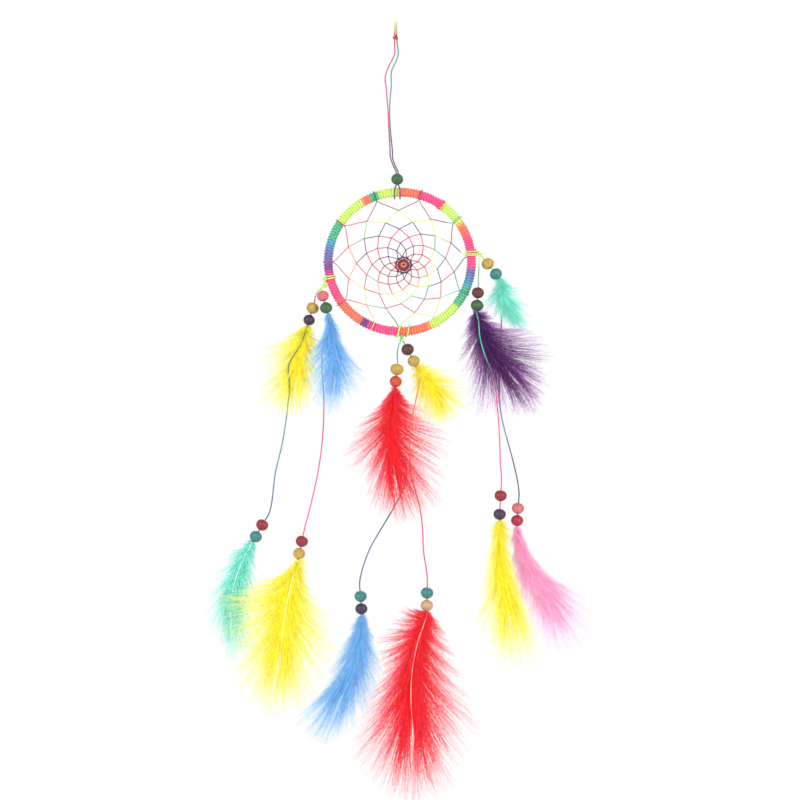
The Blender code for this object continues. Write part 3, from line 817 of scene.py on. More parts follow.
# %% Wire
def wire_material():
    material, tree, shader = new_material("drawn steel wire", Metallic=1.0)
    spot = node(tree, "TexCoord")
    scratches = node(tree, "TexNoise", in_2=900.0, in_3=4.0)
    rough = node(tree, "MapRange", in_1=0.3, in_2=0.7, in_3=0.2, in_4=0.45)
    shade = node(tree, "MixRGB", in_1=(0.52, 0.53, 0.55, 1), in_2=(0.68, 0.69, 0.71, 1))
    tree.links.new(spot.outputs["Object"], scratches.inputs["Vector"])
    tree.links.new(scratches.outputs["Fac"], rough.inputs["Value"])
    tree.links.new(scratches.outputs["Fac"], shade.inputs["Fac"])
    tree.links.new(rough.outputs["Result"], shader.inputs["Roughness"])
    tree.links.new(shade.outputs["Color"], shader.inputs["Base Color"])
    return material


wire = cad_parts["ring_core"]
wire.data.materials.clear()
wire.data.materials.append(wire_material())

# %% [markdown]
# ## The web
#
# One thread makes the whole web. It is hitched to the ring at eleven places, and then, round after round, to
# the middle of each stretch of the round before, which pulls that stretch into a point. Pulled taut, every
# hitch lies at a weighted mean of its four neighbours, so a short relaxation finds them all. The thread's
# line then visits them in the order it was tied, with a full turn round the ring or a small turn round
# itself at each.

# %% Web hitches
HITCHES_DEG = (202.5, 234.3, 270.0, 304.1, 339.9, 16.9, 53.2, 85.2, 116.2, 149.0, 181.0)
WEB_ROUNDS = 8
WEB_CENTRE = (2.2, -1.9)
WEB_EYE = 4.9
WEB_WEAVE = 0.45
WEB_PULL = 0.75
FIRST_REACH = 38.0
THREAD = 0.6
WEB_CLEARANCE = 0.6
RELAX_ROUNDS = 400


def web_nodes():
    """The hitches' places, round after round, from the ring to the centre bead."""
    each = len(HITCHES_DEG)
    count = each * WEB_ROUNDS
    centre = np.array(WEB_CENTRE)
    spots = np.zeros((count, 2))
    spots[:each] = [ring_point(degrees, WRAP_OUTER + WEB_CLEARANCE, math.pi)[:2] for degrees in HITCHES_DEG]
    first = math.radians(HITCHES_DEG[0])
    for k in range(each, count):
        turn = first + math.tau / each * (k % each + 0.5 * (k // each))
        reach = WEB_EYE if k >= count - each else FIRST_REACH + (WEB_EYE - FIRST_REACH) * k / count
        spots[k] = centre + reach * np.array([math.sin(turn), math.cos(turn)])
    for _ in range(RELAX_ROUNDS):
        for k in range(each, count - each):
            outer = spots[k - each] + spots[k - each + 1]
            inner = spots[k + each] + spots[k + each - 1]
            spots[k] = (outer + WEB_PULL * inner) / (2 + 2 * WEB_PULL)
    return spots


# %% Web thread
HITCH_LOOP = 0.4
BINDING_TURNS = 3
BINDING_INNER = 4.0
RIM_LOOP = WRAP_OUTER + 0.5
WEB_DYE = [
    (0, "lime"), (0.05, "coral"), (0.09, "rose"), (0.33, "rose"), (0.39, "plum"), (0.46, "rose"),
    (0.53, "slate"), (0.67, "slate"), (0.74, "teal"), (0.81, "lime"), (0.9, "lime"), (0.93, "slate"),
    (0.98, "teal"), (1.05, "lime"), (1.17, "coral"), (1.26, "green"), (1.3, "lime"), (1.52, "lime"),
    (1.57, "rose"), (2.09, "rose"), (2.16, "slate"), (2.43, "slate"), (2.52, "green"), (2.62, "slate"),
    (2.78, "teal"), (2.86, "lime"), (2.95, "orange"), (3.02, "teal"), (3.08, "rose"), (3.45, "rose"),
    (3.51, "lime"), (3.81, "lime"), (3.86, "red"), (4.51, "red"), (4.65, "orange"), (4.76, "red"),
    (5.06, "plum"), (5.2, "slate"), (5.44, "red"), (6.05, "slate"), (6.47, "red"), (6.66, "slate"),
    (6.92, "red"), (7.2, "slate"), (7.5, "red"), (8.0, "slate"), (8.4, "plum"), (9.0, "slate"),
]
RIM_DYE = {
    304.1: "red", 339.9: "slate", 16.9: "plum", 53.2: "teal", 85.2: "lime", 149.0: "lime", 181.0: "lime",
}


def hitch_loop(spot):
    """A small turn of the thread round itself, which is what holds it at a hitch."""
    right, up = spot
    turns = [math.radians(angle) for angle in (150, 60, -30, -120)]
    size = HITCH_LOOP
    return [
        (right + size * math.cos(t), up + 0.6 * size * math.sin(t), size * math.sin(t) * 1.2)
        for t in turns
    ]


def rim_loop(degrees):
    """One turn round the wound ring, from its inner side and back to it."""
    return [
        ring_point(degrees, RIM_LOOP, math.pi + math.tau * i / 14, 0.9 * (i / 14 - 0.5)) for i in range(15)
    ]


def bead_binding():
    """The thread's last turns, zigzag round the centre bead."""
    points, each = [], 2 * len(HITCHES_DEG)
    for i in range(each * BINDING_TURNS):
        turn = math.radians(HITCHES_DEG[0]) + math.tau * (i + 0.5) / each + 0.12 * (i // each)
        reach = BINDING_INNER if i % 2 else WEB_EYE + 0.35 * (i // each)
        back = 0.75 * math.sin(i * 1.9)
        points.append((WEB_CENTRE[0] + reach * math.sin(turn), WEB_CENTRE[1] + reach * math.cos(turn), back))
    return points


def web_line():
    """The thread's points in millimetres, in the order it is tied, with the round each is in."""
    spots = web_nodes()
    each = len(HITCHES_DEG)
    stops = []
    for k in range(len(spots)):
        stops.append((k, True))
        if k + each < len(spots):
            stops.append((k + each, False))
    line, rounds, dyes = [], [], []
    for i, (k, tied) in enumerate(stops):
        loop = [(*spots[k], -WEB_WEAVE)]
        if tied:
            loop = rim_loop(HITCHES_DEG[k]) if k < each else hitch_loop(spots[k])
        line += loop
        rounds += [i / 2 / each] * len(loop)
        dyes += [RIM_DYE.get(HITCHES_DEG[k]) if tied and k < each else None] * len(loop)
        if i + 1 < len(stops):
            ahead = spots[stops[i + 1][0]]
            for share in (0.14, 0.5, 0.86):
                flat = spots[k] * (1 - share) + ahead * share
                line.append((*flat, WEB_WEAVE * (1 - 2 * share) * (1 if tied else -1)))
                rounds.append((i + share) / 2 / each)
                dyes.append(None)
    binding = bead_binding()
    rounds += list(rounds[-1] + np.linspace(0.05, 1.5, len(binding)))
    return line + binding, np.array(rounds), dyes + [None] * len(binding)


line, rounds, own_dye = web_line()
colours = dyed(rounds, WEB_DYE)
for i, name in enumerate(own_dye):
    if name:
        colours[i] = DYES[name]
path = in_metres(smooth_route(line, 0.45))
marks = lengths_along(in_metres(line))
along = lengths_along(path) / lengths_along(path)[-1] * marks[-1]
colours = np.stack([np.interp(along, marks, colours[:, i]) for i in range(3)], axis=1)
web = yarn("web_thread", path, THREAD * MM, 2.4 * MM, colours, thread_fibre, sides=5, ply_share=0.42)
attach(web, "hoop")
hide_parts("web")
print("web thread", round(lengths_along(path)[-1], 2), "m, faces", len(web.data.polygons))

# %% [markdown]
# ## Wooden beads
#
# A bead is turned from round wood, drilled and dyed. One master is made as on a lathe: a circle is the
# section of the bead's wall, its inner side is pushed flat to make the bore, and it is spun once round the
# axis. Each bead is a copy with its own mesh, stretched to its size and leaned along its cord. Every copy
# keeps the master's own coordinates, so its grain and its worn rims follow it.

# %% Master bead
BEAD_SIDES = 36
SECTION_POINTS = 28
BORE_SHARE = 0.24
END_ANGLE = 1.12
END_GAP = 0.3


def turned_master():
    """A bead of radius 1 and half height 1 whose bore runs along Z."""
    bpy.ops.object.select_all(action="DESELECT")
    bpy.ops.mesh.primitive_circle_add(vertices=SECTION_POINTS, radius=1.0, fill_type="NOTHING")
    section = bpy.context.object
    for corner in section.data.vertices:
        share = math.atan2(corner.co.y, corner.co.x) / (math.pi / 2)
        if abs(share) <= 1.001:
            lean = share * END_ANGLE
            round_out = math.cos(lean) ** 0.56
            end_out = math.cos(END_ANGLE) ** 0.56
            out = BORE_SHARE + (1 - BORE_SHARE) * (round_out - end_out) / (1 - end_out)
            corner.co = (out, 0.0, math.sin(lean) / math.sin(END_ANGLE))
        else:
            corner.co = (BORE_SHARE, 0.0, math.copysign(2 - abs(share), share) * 0.93)
    bpy.ops.object.mode_set(mode="EDIT")
    bpy.ops.mesh.select_all(action="SELECT")
    bpy.ops.mesh.spin(steps=BEAD_SIDES, angle=math.tau, center=(0, 0, 0), axis=(0, 0, 1))
    bpy.ops.mesh.select_all(action="SELECT")
    bpy.ops.mesh.remove_doubles(threshold=0.0001)
    bpy.ops.mesh.normals_make_consistent(inside=False)
    bpy.ops.object.mode_set(mode="OBJECT")
    bpy.ops.object.shade_smooth()
    return section


master_bead = turned_master()
print("master bead faces", len(master_bead.data.polygons))

# %% [markdown]
# ## Dyed and lacquered wood
#
# The wood drinks the dye unevenly: it is darker along the grain's pores and pale where the drill has rubbed
# it off the rim. One group makes the colour, the roughness and the height from the bead's own coordinates,
# and a thin coat on the shader gives the lacquer's soft highlights.


# %% Stained wood group
def make_wood_group():
    group, given, result = new_group(
        "stained wood",
        [
            ("Stain", "NodeSocketColor", (0.5, 0.3, 0.1, 1)),
            ("Bare wood", "NodeSocketColor", (0.62, 0.42, 0.24, 1)),
        ],
        [("Colour", "NodeSocketColor"), ("Roughness", "NodeSocketFloat"), ("Height", "NodeSocketFloat")],
    )
    link = group.links.new
    spot = attribute(group, "turned")
    stretch = node(group, "VectorMath", operation="MULTIPLY", in_1=(1.0, 1.0, 0.14))
    link(spot.outputs["Vector"], stretch.inputs[0])
    pores = node(group, "TexNoise", in_2=9.0, in_3=5.0, in_4=0.65)
    patches = node(group, "TexNoise", in_2=1.7, in_3=2.0)
    link(stretch.outputs[0], pores.inputs["Vector"])
    link(spot.outputs["Vector"], patches.inputs["Vector"])
    depth = node(group, "MapRange", in_1=0.3, in_2=0.68, in_3=0.6, in_4=1.2)
    link(pores.outputs["Fac"], depth.inputs["Value"])
    wash = node(group, "MapRange", in_1=0.3, in_2=0.7, in_3=0.85, in_4=1.15)
    link(patches.outputs["Fac"], wash.inputs["Value"])
    both = node(group, "Math", operation="MULTIPLY")
    link(depth.outputs["Result"], both.inputs[0])
    link(wash.outputs["Result"], both.inputs[1])
    stain = node(group, "VectorMath", operation="SCALE")
    link(given.outputs["Stain"], stain.inputs[0])
    link(both.outputs[0], stain.inputs["Scale"])
    rim = attribute(group, "rim")
    apart = node(group, "SeparateXYZ")
    link(rim.outputs["Vector"], apart.inputs[0])
    ragged = node(group, "Math", operation="MULTIPLY_ADD", in_1=0.35)
    link(pores.outputs["Fac"], ragged.inputs[0])
    link(apart.outputs["X"], ragged.inputs[2])
    worn = node(group, "MapRange", in_1=0.98, in_2=1.16, in_3=0.0, in_4=0.75)
    link(ragged.outputs[0], worn.inputs["Value"])
    mix = node(group, "MixRGB")
    link(worn.outputs["Result"], mix.inputs["Fac"])
    link(stain.outputs[0], mix.inputs[1])
    link(given.outputs["Bare wood"], mix.inputs[2])
    link(mix.outputs["Color"], result.inputs["Colour"])
    rough = node(group, "MapRange", in_1=0.3, in_2=0.7, in_3=0.52, in_4=0.34)
    link(pores.outputs["Fac"], rough.inputs["Value"])
    link(rough.outputs["Result"], result.inputs["Roughness"])
    link(pores.outputs["Fac"], result.inputs["Height"])
    return group


stained_wood = make_wood_group()
STAINS = {
    "ochre": dye(176, 146, 66), "purple": dye(56, 38, 62), "rose": dye(196, 100, 104),
    "green": dye(48, 92, 54), "orange": dye(190, 62, 24), "brown": dye(84, 42, 34),
    "teal": dye(48, 118, 118), "crimson": dye(138, 30, 42), "magenta": dye(160, 22, 60),
    "tan": dye(182, 146, 114),
}


def bead_material(stain):
    material, tree, shader = new_material(
        "bead " + stain, Coat_Weight=0.2, Coat_Roughness=0.25, Specular_IOR_Level=0.35
    )
    wood = node(tree, "Group", node_tree=stained_wood)
    wood.inputs["Stain"].default_value = (*STAINS[stain], 1.0)
    surface_from(tree, shader, wood, 0.35, 0.00012)
    return material


bead_materials = {stain: bead_material(stain) for stain in STAINS}


# %% Place the beads
bead_count = 0


def make_bead(cad_node, body, stain, axis, diameter, height):
    """A copy of the master on its CAD bead's place, with its bore along axis."""
    global bead_count
    bead_count += 1
    low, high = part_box(cad_node)
    mesh = master_bead.data.copy()
    mesh.name = cad_node + "_turned"
    own = np.empty(len(mesh.vertices) * 3)
    mesh.vertices.foreach_get("co", own)
    own = own.reshape(-1, 3)
    spot = mesh.attributes.new("turned", "FLOAT_VECTOR", "POINT")
    spot.data.foreach_set("vector", (own + (3.7 * bead_count, 0.0, 1.3 * bead_count)).ravel())
    reach = np.hypot(own[:, 0], own[:, 1])
    rim = mesh.attributes.new("rim", "FLOAT_VECTOR", "POINT")
    nearness = np.clip((0.62 - reach) / 0.3, 0, 1) + 0.35 * np.clip((np.abs(own[:, 2]) - 0.9) / 0.1, 0, 1)
    rim.data.foreach_set("vector", np.stack([nearness] * 3, axis=1).ravel())
    lean = Vector((0, 0, 1)).rotation_difference(Vector(axis)).to_matrix().to_4x4()
    size = Matrix.Diagonal((diameter / 2 * MM, diameter / 2 * MM, (height + END_GAP) / 2 * MM, 1))
    mesh.transform(Matrix.Translation((low + high) / 2) @ lean @ size)
    mesh.materials.append(bead_materials[stain])
    made = bpy.data.objects.new(mesh.name, mesh)
    bpy.context.scene.collection.objects.link(made)
    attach(made, body)
    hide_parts(cad_node)
    return made


for strand, spec in STRANDS.items():
    for half in ("upper", "lower"):
        _, _, down = bead_line(spec[half])
        axis = (down[0], down[2], down[1])
        for which, (stain, _, diameter, height) in zip(("loose", "fixed"), spec[half]["beads"]):
            name = f"{strand}_{half}"
            body = name if which == "fixed" else name + "_loose"
            make_bead(f"{name}_{which}_bead", body, stain, axis, diameter, height)
make_bead("centre_bead", "hoop", "crimson", (0, 1, 0), 7.4, 6.6)
core_path = in_metres([(*WEB_CENTRE, back) for back in np.linspace(-3.5, 3.5, 20)])
colours = dyed(np.zeros(20), [(0, "plum")])
core = yarn("centre_bead_thread", core_path, 1.7 * MM, 2.6 * MM, colours, thread_fibre)
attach(core, "hoop")
make_bead("hanging_bead", "hanger", "green", (0, 0, 1), 7.2, 6.4)
bpy.data.objects.remove(master_bead)
print("beads", bead_count)

# %% [markdown]
# ## Down feathers
#
# A down feather has a short thin quill, long soft barbs that leave it on both sides and sweep far past its
# end, and on each barb hundreds of barbules that make the fluff. Two kinds of barb are grown here. The core
# ones lie close to the quill and hide it. The outer ones cling together in wisps that share one end on the
# feather's edge, so the edge breaks up as it does on the real thing. Every barb is a tapered three-sided
# tube and every barbule a long thin spike, because nothing larger would look soft.

# %% The edges of the down
FEATHERS = {
    "left_outer_upper": {
        "left": [(-58, -39), (-65, -43), (-77, -49), (-85, -56), (-81, -67), (-84, -88)], "tip": (-63, -93),
        "right": [(-53, -40), (-48, -46), (-46, -53), (-48, -64), (-49, -79), (-54, -89)],
    },
    "left_outer_lower": {
        "left": [(-91, -166), (-101, -172), (-111, -190), (-115, -200), (-115, -212), (-113, -217)],
        "tip": (-100, -236), "right": [(-86, -168), (-85, -180), (-85, -192), (-87, -215), (-87, -235)],
        "bare quill": True,
    },
    "left_inner_upper": {
        "left": [(-44, -37), (-45, -44), (-52, -53), (-58, -61), (-57, -70), (-52, -80), (-47, -87)],
        "tip": (-41, -92),
        "right": [
            (-39, -36), (-34, -43), (-31, -53), (-25, -63), (-19, -67), (-22, -76), (-29, -82), (-35, -86),
        ],
    },
    "left_inner_lower": {
        "left": [
            (-62, -179), (-72, -186), (-89, -190), (-111, -202), (-106, -223), (-103, -239), (-100, -248),
            (-90, -262),
        ],
        "tip": (-78, -269),
        "right": [(-56, -176), (-54, -190), (-49, -198), (-36, -220), (-36, -236), (-47, -256), (-60, -267)],
        "bare quill": True,
    },
    "middle_left_upper": {
        "left": [(-13, -84), (-29, -103), (-34, -114), (-25, -125), (-21, -138), (-16, -147)],
        "tip": (1, -155),
        "right": [(7, -83), (24, -96), (29, -110), (28, -125), (22, -147)],
    },
    "middle_left_lower": {
        "left": [
            (-26, -213), (-32, -223), (-38, -235), (-44, -247), (-48, -259), (-59, -267),
            (-64, -273), (-59, -282),
        ],
        "tip": (-46, -286),
        "right": [(-19, -214), (-15, -226), (-12, -241), (-12, -253), (-16, -264), (-22, -275), (-32, -281)],
    },
    "middle_right_upper": {
        "left": [(8, -64), (7, -73), (6, -80), (7, -89), (12, -95)], "tip": (25, -98),
        "right": [(13, -60), (21, -62), (31, -65), (38, -69), (40, -79), (41, -90), (31, -93)],
    },
    "middle_right_lower": {
        "left": [
            (3, -204), (-9, -217), (-15, -227), (-13, -247), (-21, -261), (-28, -282),
            (-29, -291), (-22, -303), (-12, -312), (-3, -317),
        ],
        "tip": (6, -318),
        "right": [
            (19, -208), (27, -220), (33, -235), (38, -247), (41, -259), (46, -279), (41, -289), (33, -300),
            (30, -312), (15, -318),
        ],
        "bare quill": True,
    },
    "right_inner_upper": {
        "left": [(42, -31), (36, -43), (35, -55), (39, -72), (43, -92), (56, -92), (73, -91)],
        "tip": (81, -91),
        "right": [(54, -31), (61, -38), (84, -43), (91, -53), (90, -58), (89, -72), (85, -83)],
    },
    "right_inner_lower": {
        "left": [(54, -157), (53, -167), (50, -182), (46, -200), (44, -211), (49, -229), (62, -238)],
        "tip": (68, -240),
        "right": [(62, -154), (66, -158), (68, -176), (74, -200), (80, -217), (83, -232), (81, -238)],
    },
    "right_outer_upper": {
        "left": [(55, -12), (52, -19), (50, -23), (49, -29), (55, -32), (63, -38)], "tip": (75, -41),
        "right": [(61, -12), (68, -14), (73, -21), (77, -28), (78, -36)],
    },
    "right_outer_lower": {
        "left": [(67, -160), (66, -173), (65, -188), (66, -200), (72, -211), (83, -223), (89, -230)],
        "tip": (95, -232),
        "right": [
            (71, -158), (76, -169), (83, -181), (95, -191), (108, -198), (117, -211),
            (114, -222), (109, -226), (100, -230),
        ],
    },
}

# %% Barbs
WISP_SPACING = 2.3
EDGE_REACH = 1.06
BARBS_PER_WISP = 9
CORE_BARB_AREA = 5.8
BARB_RINGS = 7
QUILL_SHARE = 0.66
SPREAD_BACK = 3.6


def sample(line, shares):
    """Points at these shares of a fine line's length."""
    along = lengths_along(line)
    at = np.clip(shares, 0, 1) * along[-1]
    return np.stack([np.interp(at, along, line[:, i]) for i in range(line.shape[1])], axis=-1)


def unit(vectors):
    return vectors / np.maximum(np.linalg.norm(vectors, axis=-1, keepdims=True), 1e-9)


def wisp_ends(rng, axis, edge):
    """For the outer barbs of one side: their places along the feather and their ends, wisp by wisp."""
    wisps = max(int(lengths_along(edge)[-1] / WISP_SPACING), 8)
    share = (np.arange(wisps) + rng.uniform(0.1, 0.9, wisps)) / wisps
    tips = sample(axis, share) + (sample(edge, share) - sample(axis, share)) * EDGE_REACH
    tips += (sample(axis, share) - tips) * (0.4 * rng.uniform(0, 1, (wisps, 1)) ** 2.5)
    tips += rng.normal(0, 1, (wisps, 3)) * (0.6, 0.6, SPREAD_BACK)
    share, tips = np.repeat(share, BARBS_PER_WISP), np.repeat(tips, BARBS_PER_WISP, axis=0)
    back_off = rng.uniform(0, 1, (len(share), 1)) ** 1.8 * 0.32
    ends = tips + (sample(axis, share) - tips) * back_off
    return share, ends + rng.normal(0, 1, tips.shape) * (0.25 + 2.5 * back_off)


def core_ends(rng, axis, edge):
    """For the core barbs of one side: their places along the feather and their ends, near the quill."""
    even = np.linspace(0, 1, 30)
    width = np.linalg.norm(sample(edge, even) - sample(axis, even), axis=1).mean()
    count = max(int(width * lengths_along(axis)[-1] / CORE_BARB_AREA), 130)
    share = rng.uniform(0.04, 0.9, count)
    reach = rng.uniform(0.02, 0.86, (count, 1)) * (1 - 0.2 * share[:, None])
    ends = sample(axis, share) * (1 - reach) + sample(edge, share) * reach
    return share, ends + rng.normal(0, 1, ends.shape) * (0.5, 0.5, 0.8 * SPREAD_BACK)


def barb_curves(rng, quill, share, end, side):
    """The points along each barb, which leaves the quill above its end and sweeps down to it."""
    count = len(share)
    roots = np.clip(QUILL_SHARE * share ** 1.1 * rng.uniform(0.8, 1.0, count) - 0.02, 0.0, QUILL_SHARE)
    start = sample(quill, roots)
    ahead = unit(sample(quill, roots + 0.02) - sample(quill, roots - 0.02))
    out = np.stack([-ahead[:, 1], ahead[:, 0], np.zeros(count)], axis=1) * side[:, None]
    length = np.linalg.norm(end - start, axis=1)[:, None]
    straight = unit(end - start)
    leave = unit(0.9 * ahead + 0.34 * out + 0.5 * straight)
    arrive = unit(straight + 0.3 * out * rng.uniform(-0.5, 1.0, (count, 1)))
    first = start + leave * length * 0.38
    second = end - arrive * length * 0.34
    t = np.linspace(0, 1, BARB_RINGS + 1)[None, :, None]
    curve = (
        (1 - t) ** 3 * start[:, None] + 3 * (1 - t) ** 2 * t * first[:, None]
        + 3 * (1 - t) * t ** 2 * second[:, None] + t ** 3 * end[:, None]
    )
    wave = np.sin(t * rng.uniform(4, 11, (count, 1, 1)) + rng.uniform(0, 6.3, (count, 1, 1)))
    across = np.stack([-straight[:, 1], straight[:, 0], rng.uniform(-0.8, 0.8, count)], axis=1)
    return curve + across[:, None] * wave * t * 0.02 * length[:, None]


# %% Barbules
BARB_RADIUS = {"core": 0.17, "outer": 0.1}
BARBULES = {"core": 13, "outer": 12}
BARBULE_RADIUS = {"core": 0.075, "outer": 0.04}
BARBULE_LENGTH = {"core": 4.6, "outer": 3.2}


def spikes(base, tip, radius):
    """Thin four-faced spikes from base to tip: points and triangles."""
    ahead = unit(tip - base)
    side = unit(np.cross(ahead, (0.3, 0.2, 0.93)))
    lift = np.cross(ahead, side)
    turn = math.tau * np.arange(3) / 3
    around = np.cos(turn)[:, None] * side[:, None] + np.sin(turn)[:, None] * lift[:, None]
    rim = base[:, None] + radius * around
    points = np.concatenate([rim, tip[:, None]], axis=1).reshape(-1, 3)
    faces = np.array([(0, 1, 3), (1, 2, 3), (2, 0, 3), (2, 1, 0)])
    return points, (np.arange(len(base))[:, None, None] * 4 + faces).reshape(-1, 3)


def barb_tubes(curve, radius):
    """Three-sided tapered tubes along the barbs, closed at both ends: points and triangles."""
    count, rings = curve.shape[0], curve.shape[1] - 1
    ahead = unit(np.gradient(curve, axis=1))
    side = unit(np.cross(ahead, (0.0, 0.0, 1.0)))
    lift = np.cross(ahead, side)
    turn = math.tau * np.arange(3) / 3
    taper = radius * (1 - np.arange(rings) / rings) ** 0.6
    rim = (
        np.cos(turn)[:, None] * side[:, :rings, None] + np.sin(turn)[:, None] * lift[:, :rings, None]
    ) * taper[None, :, None, None]
    tube = (curve[:, :rings, None] + rim).reshape(count, -1, 3)
    points = np.concatenate([tube, curve[:, -1:]], axis=1).reshape(-1, 3)
    faces = [(2, 1, 0)]
    for i in range(rings - 1):
        for j in range(3):
            a, b = 3 * i + j, 3 * i + (j + 1) % 3
            faces += [(a, b, b + 3), (a, b + 3, a + 3)]
    tip = 3 * rings
    faces += [(tip - 3 + j, tip - 3 + (j + 1) % 3, tip) for j in range(3)]
    return points, (np.arange(count)[:, None, None] * (tip + 1) + np.array(faces)).reshape(-1, 3)


def barbule_lines(rng, curve, kind):
    """Where the barbules of these barbs start and end, and their shares along the barb."""
    count, each = len(curve), BARBULES[kind]
    at = 0.06 + 0.9 * (np.arange(each) + rng.uniform(0, 1, (count, each))) / each
    low = np.clip((at * BARB_RINGS).astype(int), 0, BARB_RINGS - 1)
    part = (at * BARB_RINGS - low)[..., None]
    row = np.arange(count)[:, None]
    base = curve[row, low] * (1 - part) + curve[row, low + 1] * part
    ahead = unit(curve[row, low + 1] - curve[row, low])
    flip = np.where(np.arange(each) % 2, 1.0, -1.0)[None, :, None]
    away = unit(np.cross(ahead, (0.0, 0.0, 1.0))) * flip + rng.normal(0, 0.5, ahead.shape)
    long = BARBULE_LENGTH[kind] * rng.uniform(0.6, 1.3, at.shape) * (1.1 - 0.7 * at)
    return base, base + unit(ahead + 0.42 * away) * long[..., None], at


def grow(rng, quill, share, end, side, kind):
    """One kind of barb with its barbules: points, triangles, share along the barb, and tone."""
    curve = barb_curves(rng, quill, share, end, side)
    tone = rng.uniform(0, 1, len(curve))
    tube, faces = barb_tubes(curve, BARB_RADIUS[kind])
    tube_share = np.concatenate([np.repeat(np.arange(BARB_RINGS) / BARB_RINGS, 3), [1.0]])
    base, tip, at = barbule_lines(rng, curve, kind)
    spike, spike_faces = spikes(base.reshape(-1, 3), tip.reshape(-1, 3), BARBULE_RADIUS[kind])
    shares = np.concatenate([np.tile(tube_share, len(curve)), np.repeat(at.ravel(), 4)])
    tones = np.concatenate([np.repeat(tone, len(tube_share)), np.repeat(tone, 4 * BARBULES[kind])])
    return np.concatenate([tube, spike]), np.concatenate([faces, spike_faces + len(tube)]), shares, tones


# %% [markdown]
# ## The down's colour
#
# The dye is deepest near the quill. Towards the barbs' ends the colour is blended to a paler one, which is
# painted light: light that comes through single barbs. Each barb also takes the dye a little differently.
# Both are stored on the mesh, and the material adds a fine mottle and a faint glow, which is painted light
# soaking through the barbs.

# %% Down materials
DOWN_GLOW = 0.11  # stands for the light that soaks through the barbs
# Each pair is the dye near the quill and the paler colour of the painted light at the barbs' ends.
DOWN = {
    "yellow": (dye(255, 240, 30), dye(240, 246, 150)),
    "blue": (dye(124, 190, 240), dye(166, 210, 244)),
    "red": (dye(242, 20, 28), dye(248, 104, 130)),
    "purple": (dye(66, 22, 84), dye(186, 96, 200)),
    "aqua": (dye(134, 234, 214), dye(184, 240, 234)),
    "pink": (dye(255, 172, 208), dye(255, 216, 244)),
}


def down_material():
    material, tree, shader = new_material("down", Roughness=0.8, Sheen_Weight=0.1, Specular_IOR_Level=0.1)
    colour = attribute(tree, "dye")
    spot = node(tree, "TexCoord")
    mottle = node(tree, "TexNoise", in_2=420.0, in_3=2.0)
    depth = node(tree, "MapRange", in_1=0.3, in_2=0.7, in_3=0.9, in_4=1.08)
    tint = node(tree, "VectorMath", operation="SCALE")
    tree.links.new(spot.outputs["Object"], mottle.inputs["Vector"])
    tree.links.new(mottle.outputs["Fac"], depth.inputs["Value"])
    tree.links.new(colour.outputs["Color"], tint.inputs[0])
    tree.links.new(depth.outputs["Result"], tint.inputs["Scale"])
    tree.links.new(tint.outputs[0], shader.inputs["Base Color"])
    tree.links.new(tint.outputs[0], shader.inputs["Emission Color"])
    shader.inputs["Emission Strength"].default_value = DOWN_GLOW
    return material


down = down_material()


# %% Grow the feathers
BARE_QUILL_FRONT = 1.1


def to_frame(points):
    """Feather points (right, up, back) in millimetres as points in the frame."""
    moved = np.stack([points[:, 0] + RING_CENTRE[0], points[:, 2], points[:, 1] + RING_CENTRE[1]], axis=1)
    return moved * MM


def add_quill(name, quill, deep, bare):
    """The quill as a tapered tube. A bare one lies over the down and is almost white."""
    shown = sample(quill, np.linspace(0, QUILL_SHARE, 40))
    if bare:
        shown[:, 2] -= BARE_QUILL_FRONT * np.sin(np.linspace(0, math.pi, len(shown)))
    line = to_frame(shown)
    radius = MM * (0.34 - 0.24 * np.linspace(0, 1, len(line)))
    _, side, lift = moving_frame(line)
    turn = math.tau * np.arange(6) / 6
    rim = np.cos(turn)[:, None] * side[:, None] + np.sin(turn)[:, None] * lift[:, None]
    shaft = (line[:, None] + rim * radius[:, None, None]).reshape(-1, 3)
    tint = deep * 0.35 + 0.6 if bare else deep * 0.9
    stem = solid(name + "_quill", shaft, tube_faces(len(line), 6), down, dye=np.tile(tint, (len(shaft), 1)))
    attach(stem, name)
    return stem


def grow_feather(name, half_spec, seed):
    colour, edges = half_spec["feather"]["colour"], FEATHERS[name]
    _, bottom, down_way = bead_line(half_spec)
    root = bottom + down_way * (half_spec["beads"][1][3] / 2 - 0.4)
    spine = [(*p, bottom[2]) for p in half_spec["feather"]["quill"]]
    tip = (*edges["tip"], bottom[2])
    quill = smooth_route([root, root + down_way * 3.0, *spine], 0.8)
    axis = smooth_route([root, root + down_way * 3.0, *spine[:-1], tip], 0.8)
    rng = np.random.default_rng(seed)
    deep, pale = DOWN[colour]
    points, faces, colours, count = [], [], [], 0
    for edge, side in (("left", -1.0), ("right", 1.0)):
        line = smooth_route([root + down_way * 1.5, *[(*p, bottom[2]) for p in edges[edge]], tip], 0.8)
        for kind, ends in (("core", core_ends), ("outer", wisp_ends)):
            share, end = ends(rng, axis, line)
            grown, triangles, along, tone = grow(rng, quill, share, end, np.full(len(share), side), kind)
            # The share blended to the paler colour grows along each barb: painted light that comes through
            # single barbs, varied at random by the barb's tone.
            tip_light_and_tone = (0.25 * along ** 2 if kind == "core" else 0.1 + 0.9 * along ** 1.3) + 0.3 * (tone - 0.5)
            tip_light_and_tone = np.clip(tip_light_and_tone, 0, 1)[:, None]
            points.append(grown)
            faces.append(triangles + count)
            colours.append((deep * (1 - tip_light_and_tone) + pale * tip_light_and_tone) * (0.92 + 0.16 * tone)[:, None])
            count += len(grown)
    made = solid(
        name + "_down", to_frame(np.concatenate(points)), np.concatenate(faces).tolist(), down,
        dye=np.clip(np.concatenate(colours), 0, 1),
    )
    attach(made, name)
    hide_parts(name + "_feather")
    for piece in (made, add_quill(name, quill, deep, edges.get("bare quill", False))):
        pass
    return made


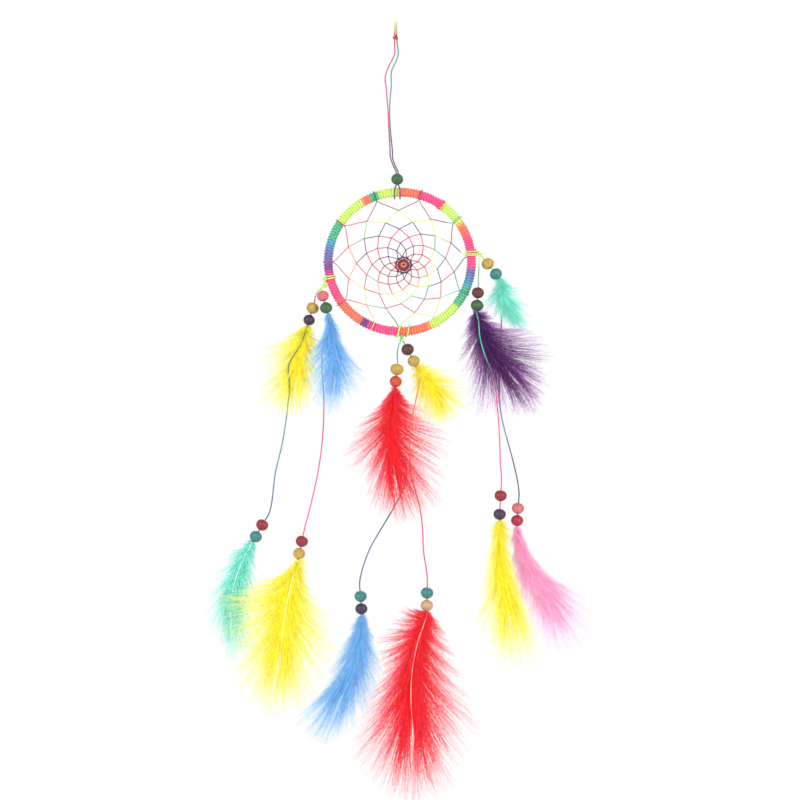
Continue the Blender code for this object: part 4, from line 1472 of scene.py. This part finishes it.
total = 0
for seed, (strand, spec) in enumerate(STRANDS.items()):
    for half in ("upper", "lower"):
        made = grow_feather(f"{strand}_{half}", spec[half], 10 * seed + (half == "lower"))
        total += len(made.data.polygons)
        print(made.name, len(made.data.polygons))
print("feather triangles", total)

# %% Look up the lower cords
for strand in STRANDS:
    name = strand + "_lower"
    line, path = cords[name]

# %% [markdown]
# ## Studio
#
# A pale floor well below, a white surround and four large soft lights: one on each side, which put the two
# soft highlights on every bead, a fill from above the front, and one behind that lights the feathers' edges.


# %% Floor, lights and surround
FLOOR_RADIUS, FLOOR_LEVEL = 0.85, -0.62
SURROUND_LIGHT, SURROUND_SEEN = 0.75, 1.0


def make_floor():
    bpy.ops.object.select_all(action="DESELECT")
    bpy.ops.mesh.primitive_circle_add(
        vertices=96, radius=FLOOR_RADIUS, fill_type="NGON", location=(0, 0, FLOOR_LEVEL)
    )
    floor = bpy.context.object
    floor.name = "floor"
    material, tree, shader = new_material("pale floor", Roughness=0.9)
    spot = node(tree, "TexCoord")
    cloud = node(tree, "TexNoise", in_2=3.0)
    shade = node(tree, "MixRGB", in_1=(0.86, 0.86, 0.86, 1), in_2=(0.9, 0.9, 0.9, 1))
    tree.links.new(spot.outputs["Object"], cloud.inputs["Vector"])
    tree.links.new(cloud.outputs["Fac"], shade.inputs["Fac"])
    tree.links.new(shade.outputs["Color"], shader.inputs["Base Color"])
    floor.data.materials.append(material)
    floor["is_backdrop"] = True


def soft_light(name, place_at, target, size, power):
    light = bpy.data.lights.new(name, "AREA")
    light.shape = "RECTANGLE"
    light.size, light.size_y = size
    light.energy = power
    made = bpy.data.objects.new(name, light)
    made.location = place_at
    made.rotation_euler = (Vector(target) - Vector(place_at)).to_track_quat("-Z", "Y").to_euler()
    bpy.context.scene.collection.objects.link(made)


make_floor()
middle = (0.0, 0.0, -0.21)
soft_light("left softbox", (-1.0, -0.8, 0.0), middle, (0.5, 1.0), 9.0)
soft_light("right softbox", (1.0, -0.8, 0.0), middle, (0.5, 1.0), 9.0)
soft_light("front fill", (0.0, -1.6, 0.5), middle, (1.0, 0.6), 7.0)
soft_light("back light", (0.3, 1.2, 0.4), middle, (1.0, 0.8), 9.0)

world = bpy.data.worlds.new("surround")
bpy.context.scene.world = world
world.use_nodes = True
sky = world.node_tree.nodes["Background"]
sky.inputs["Color"].default_value = (1.0, 1.0, 1.0, 1.0)
seen = world.node_tree.nodes.new("ShaderNodeLightPath")
level = world.node_tree.nodes.new("ShaderNodeMapRange")
level.inputs["To Min"].default_value = SURROUND_LIGHT
level.inputs["To Max"].default_value = SURROUND_SEEN
world.node_tree.links.new(seen.outputs["Is Camera Ray"], level.inputs["Value"])
world.node_tree.links.new(level.outputs["Result"], sky.inputs["Strength"])
bpy.context.scene.view_settings.view_transform = "Standard"

visual_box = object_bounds()
for label, (low, high) in (("cad", cad_box), ("visual", visual_box)):
    print(label, [round(v, 4) for v in low], [round(v, 4) for v in high])
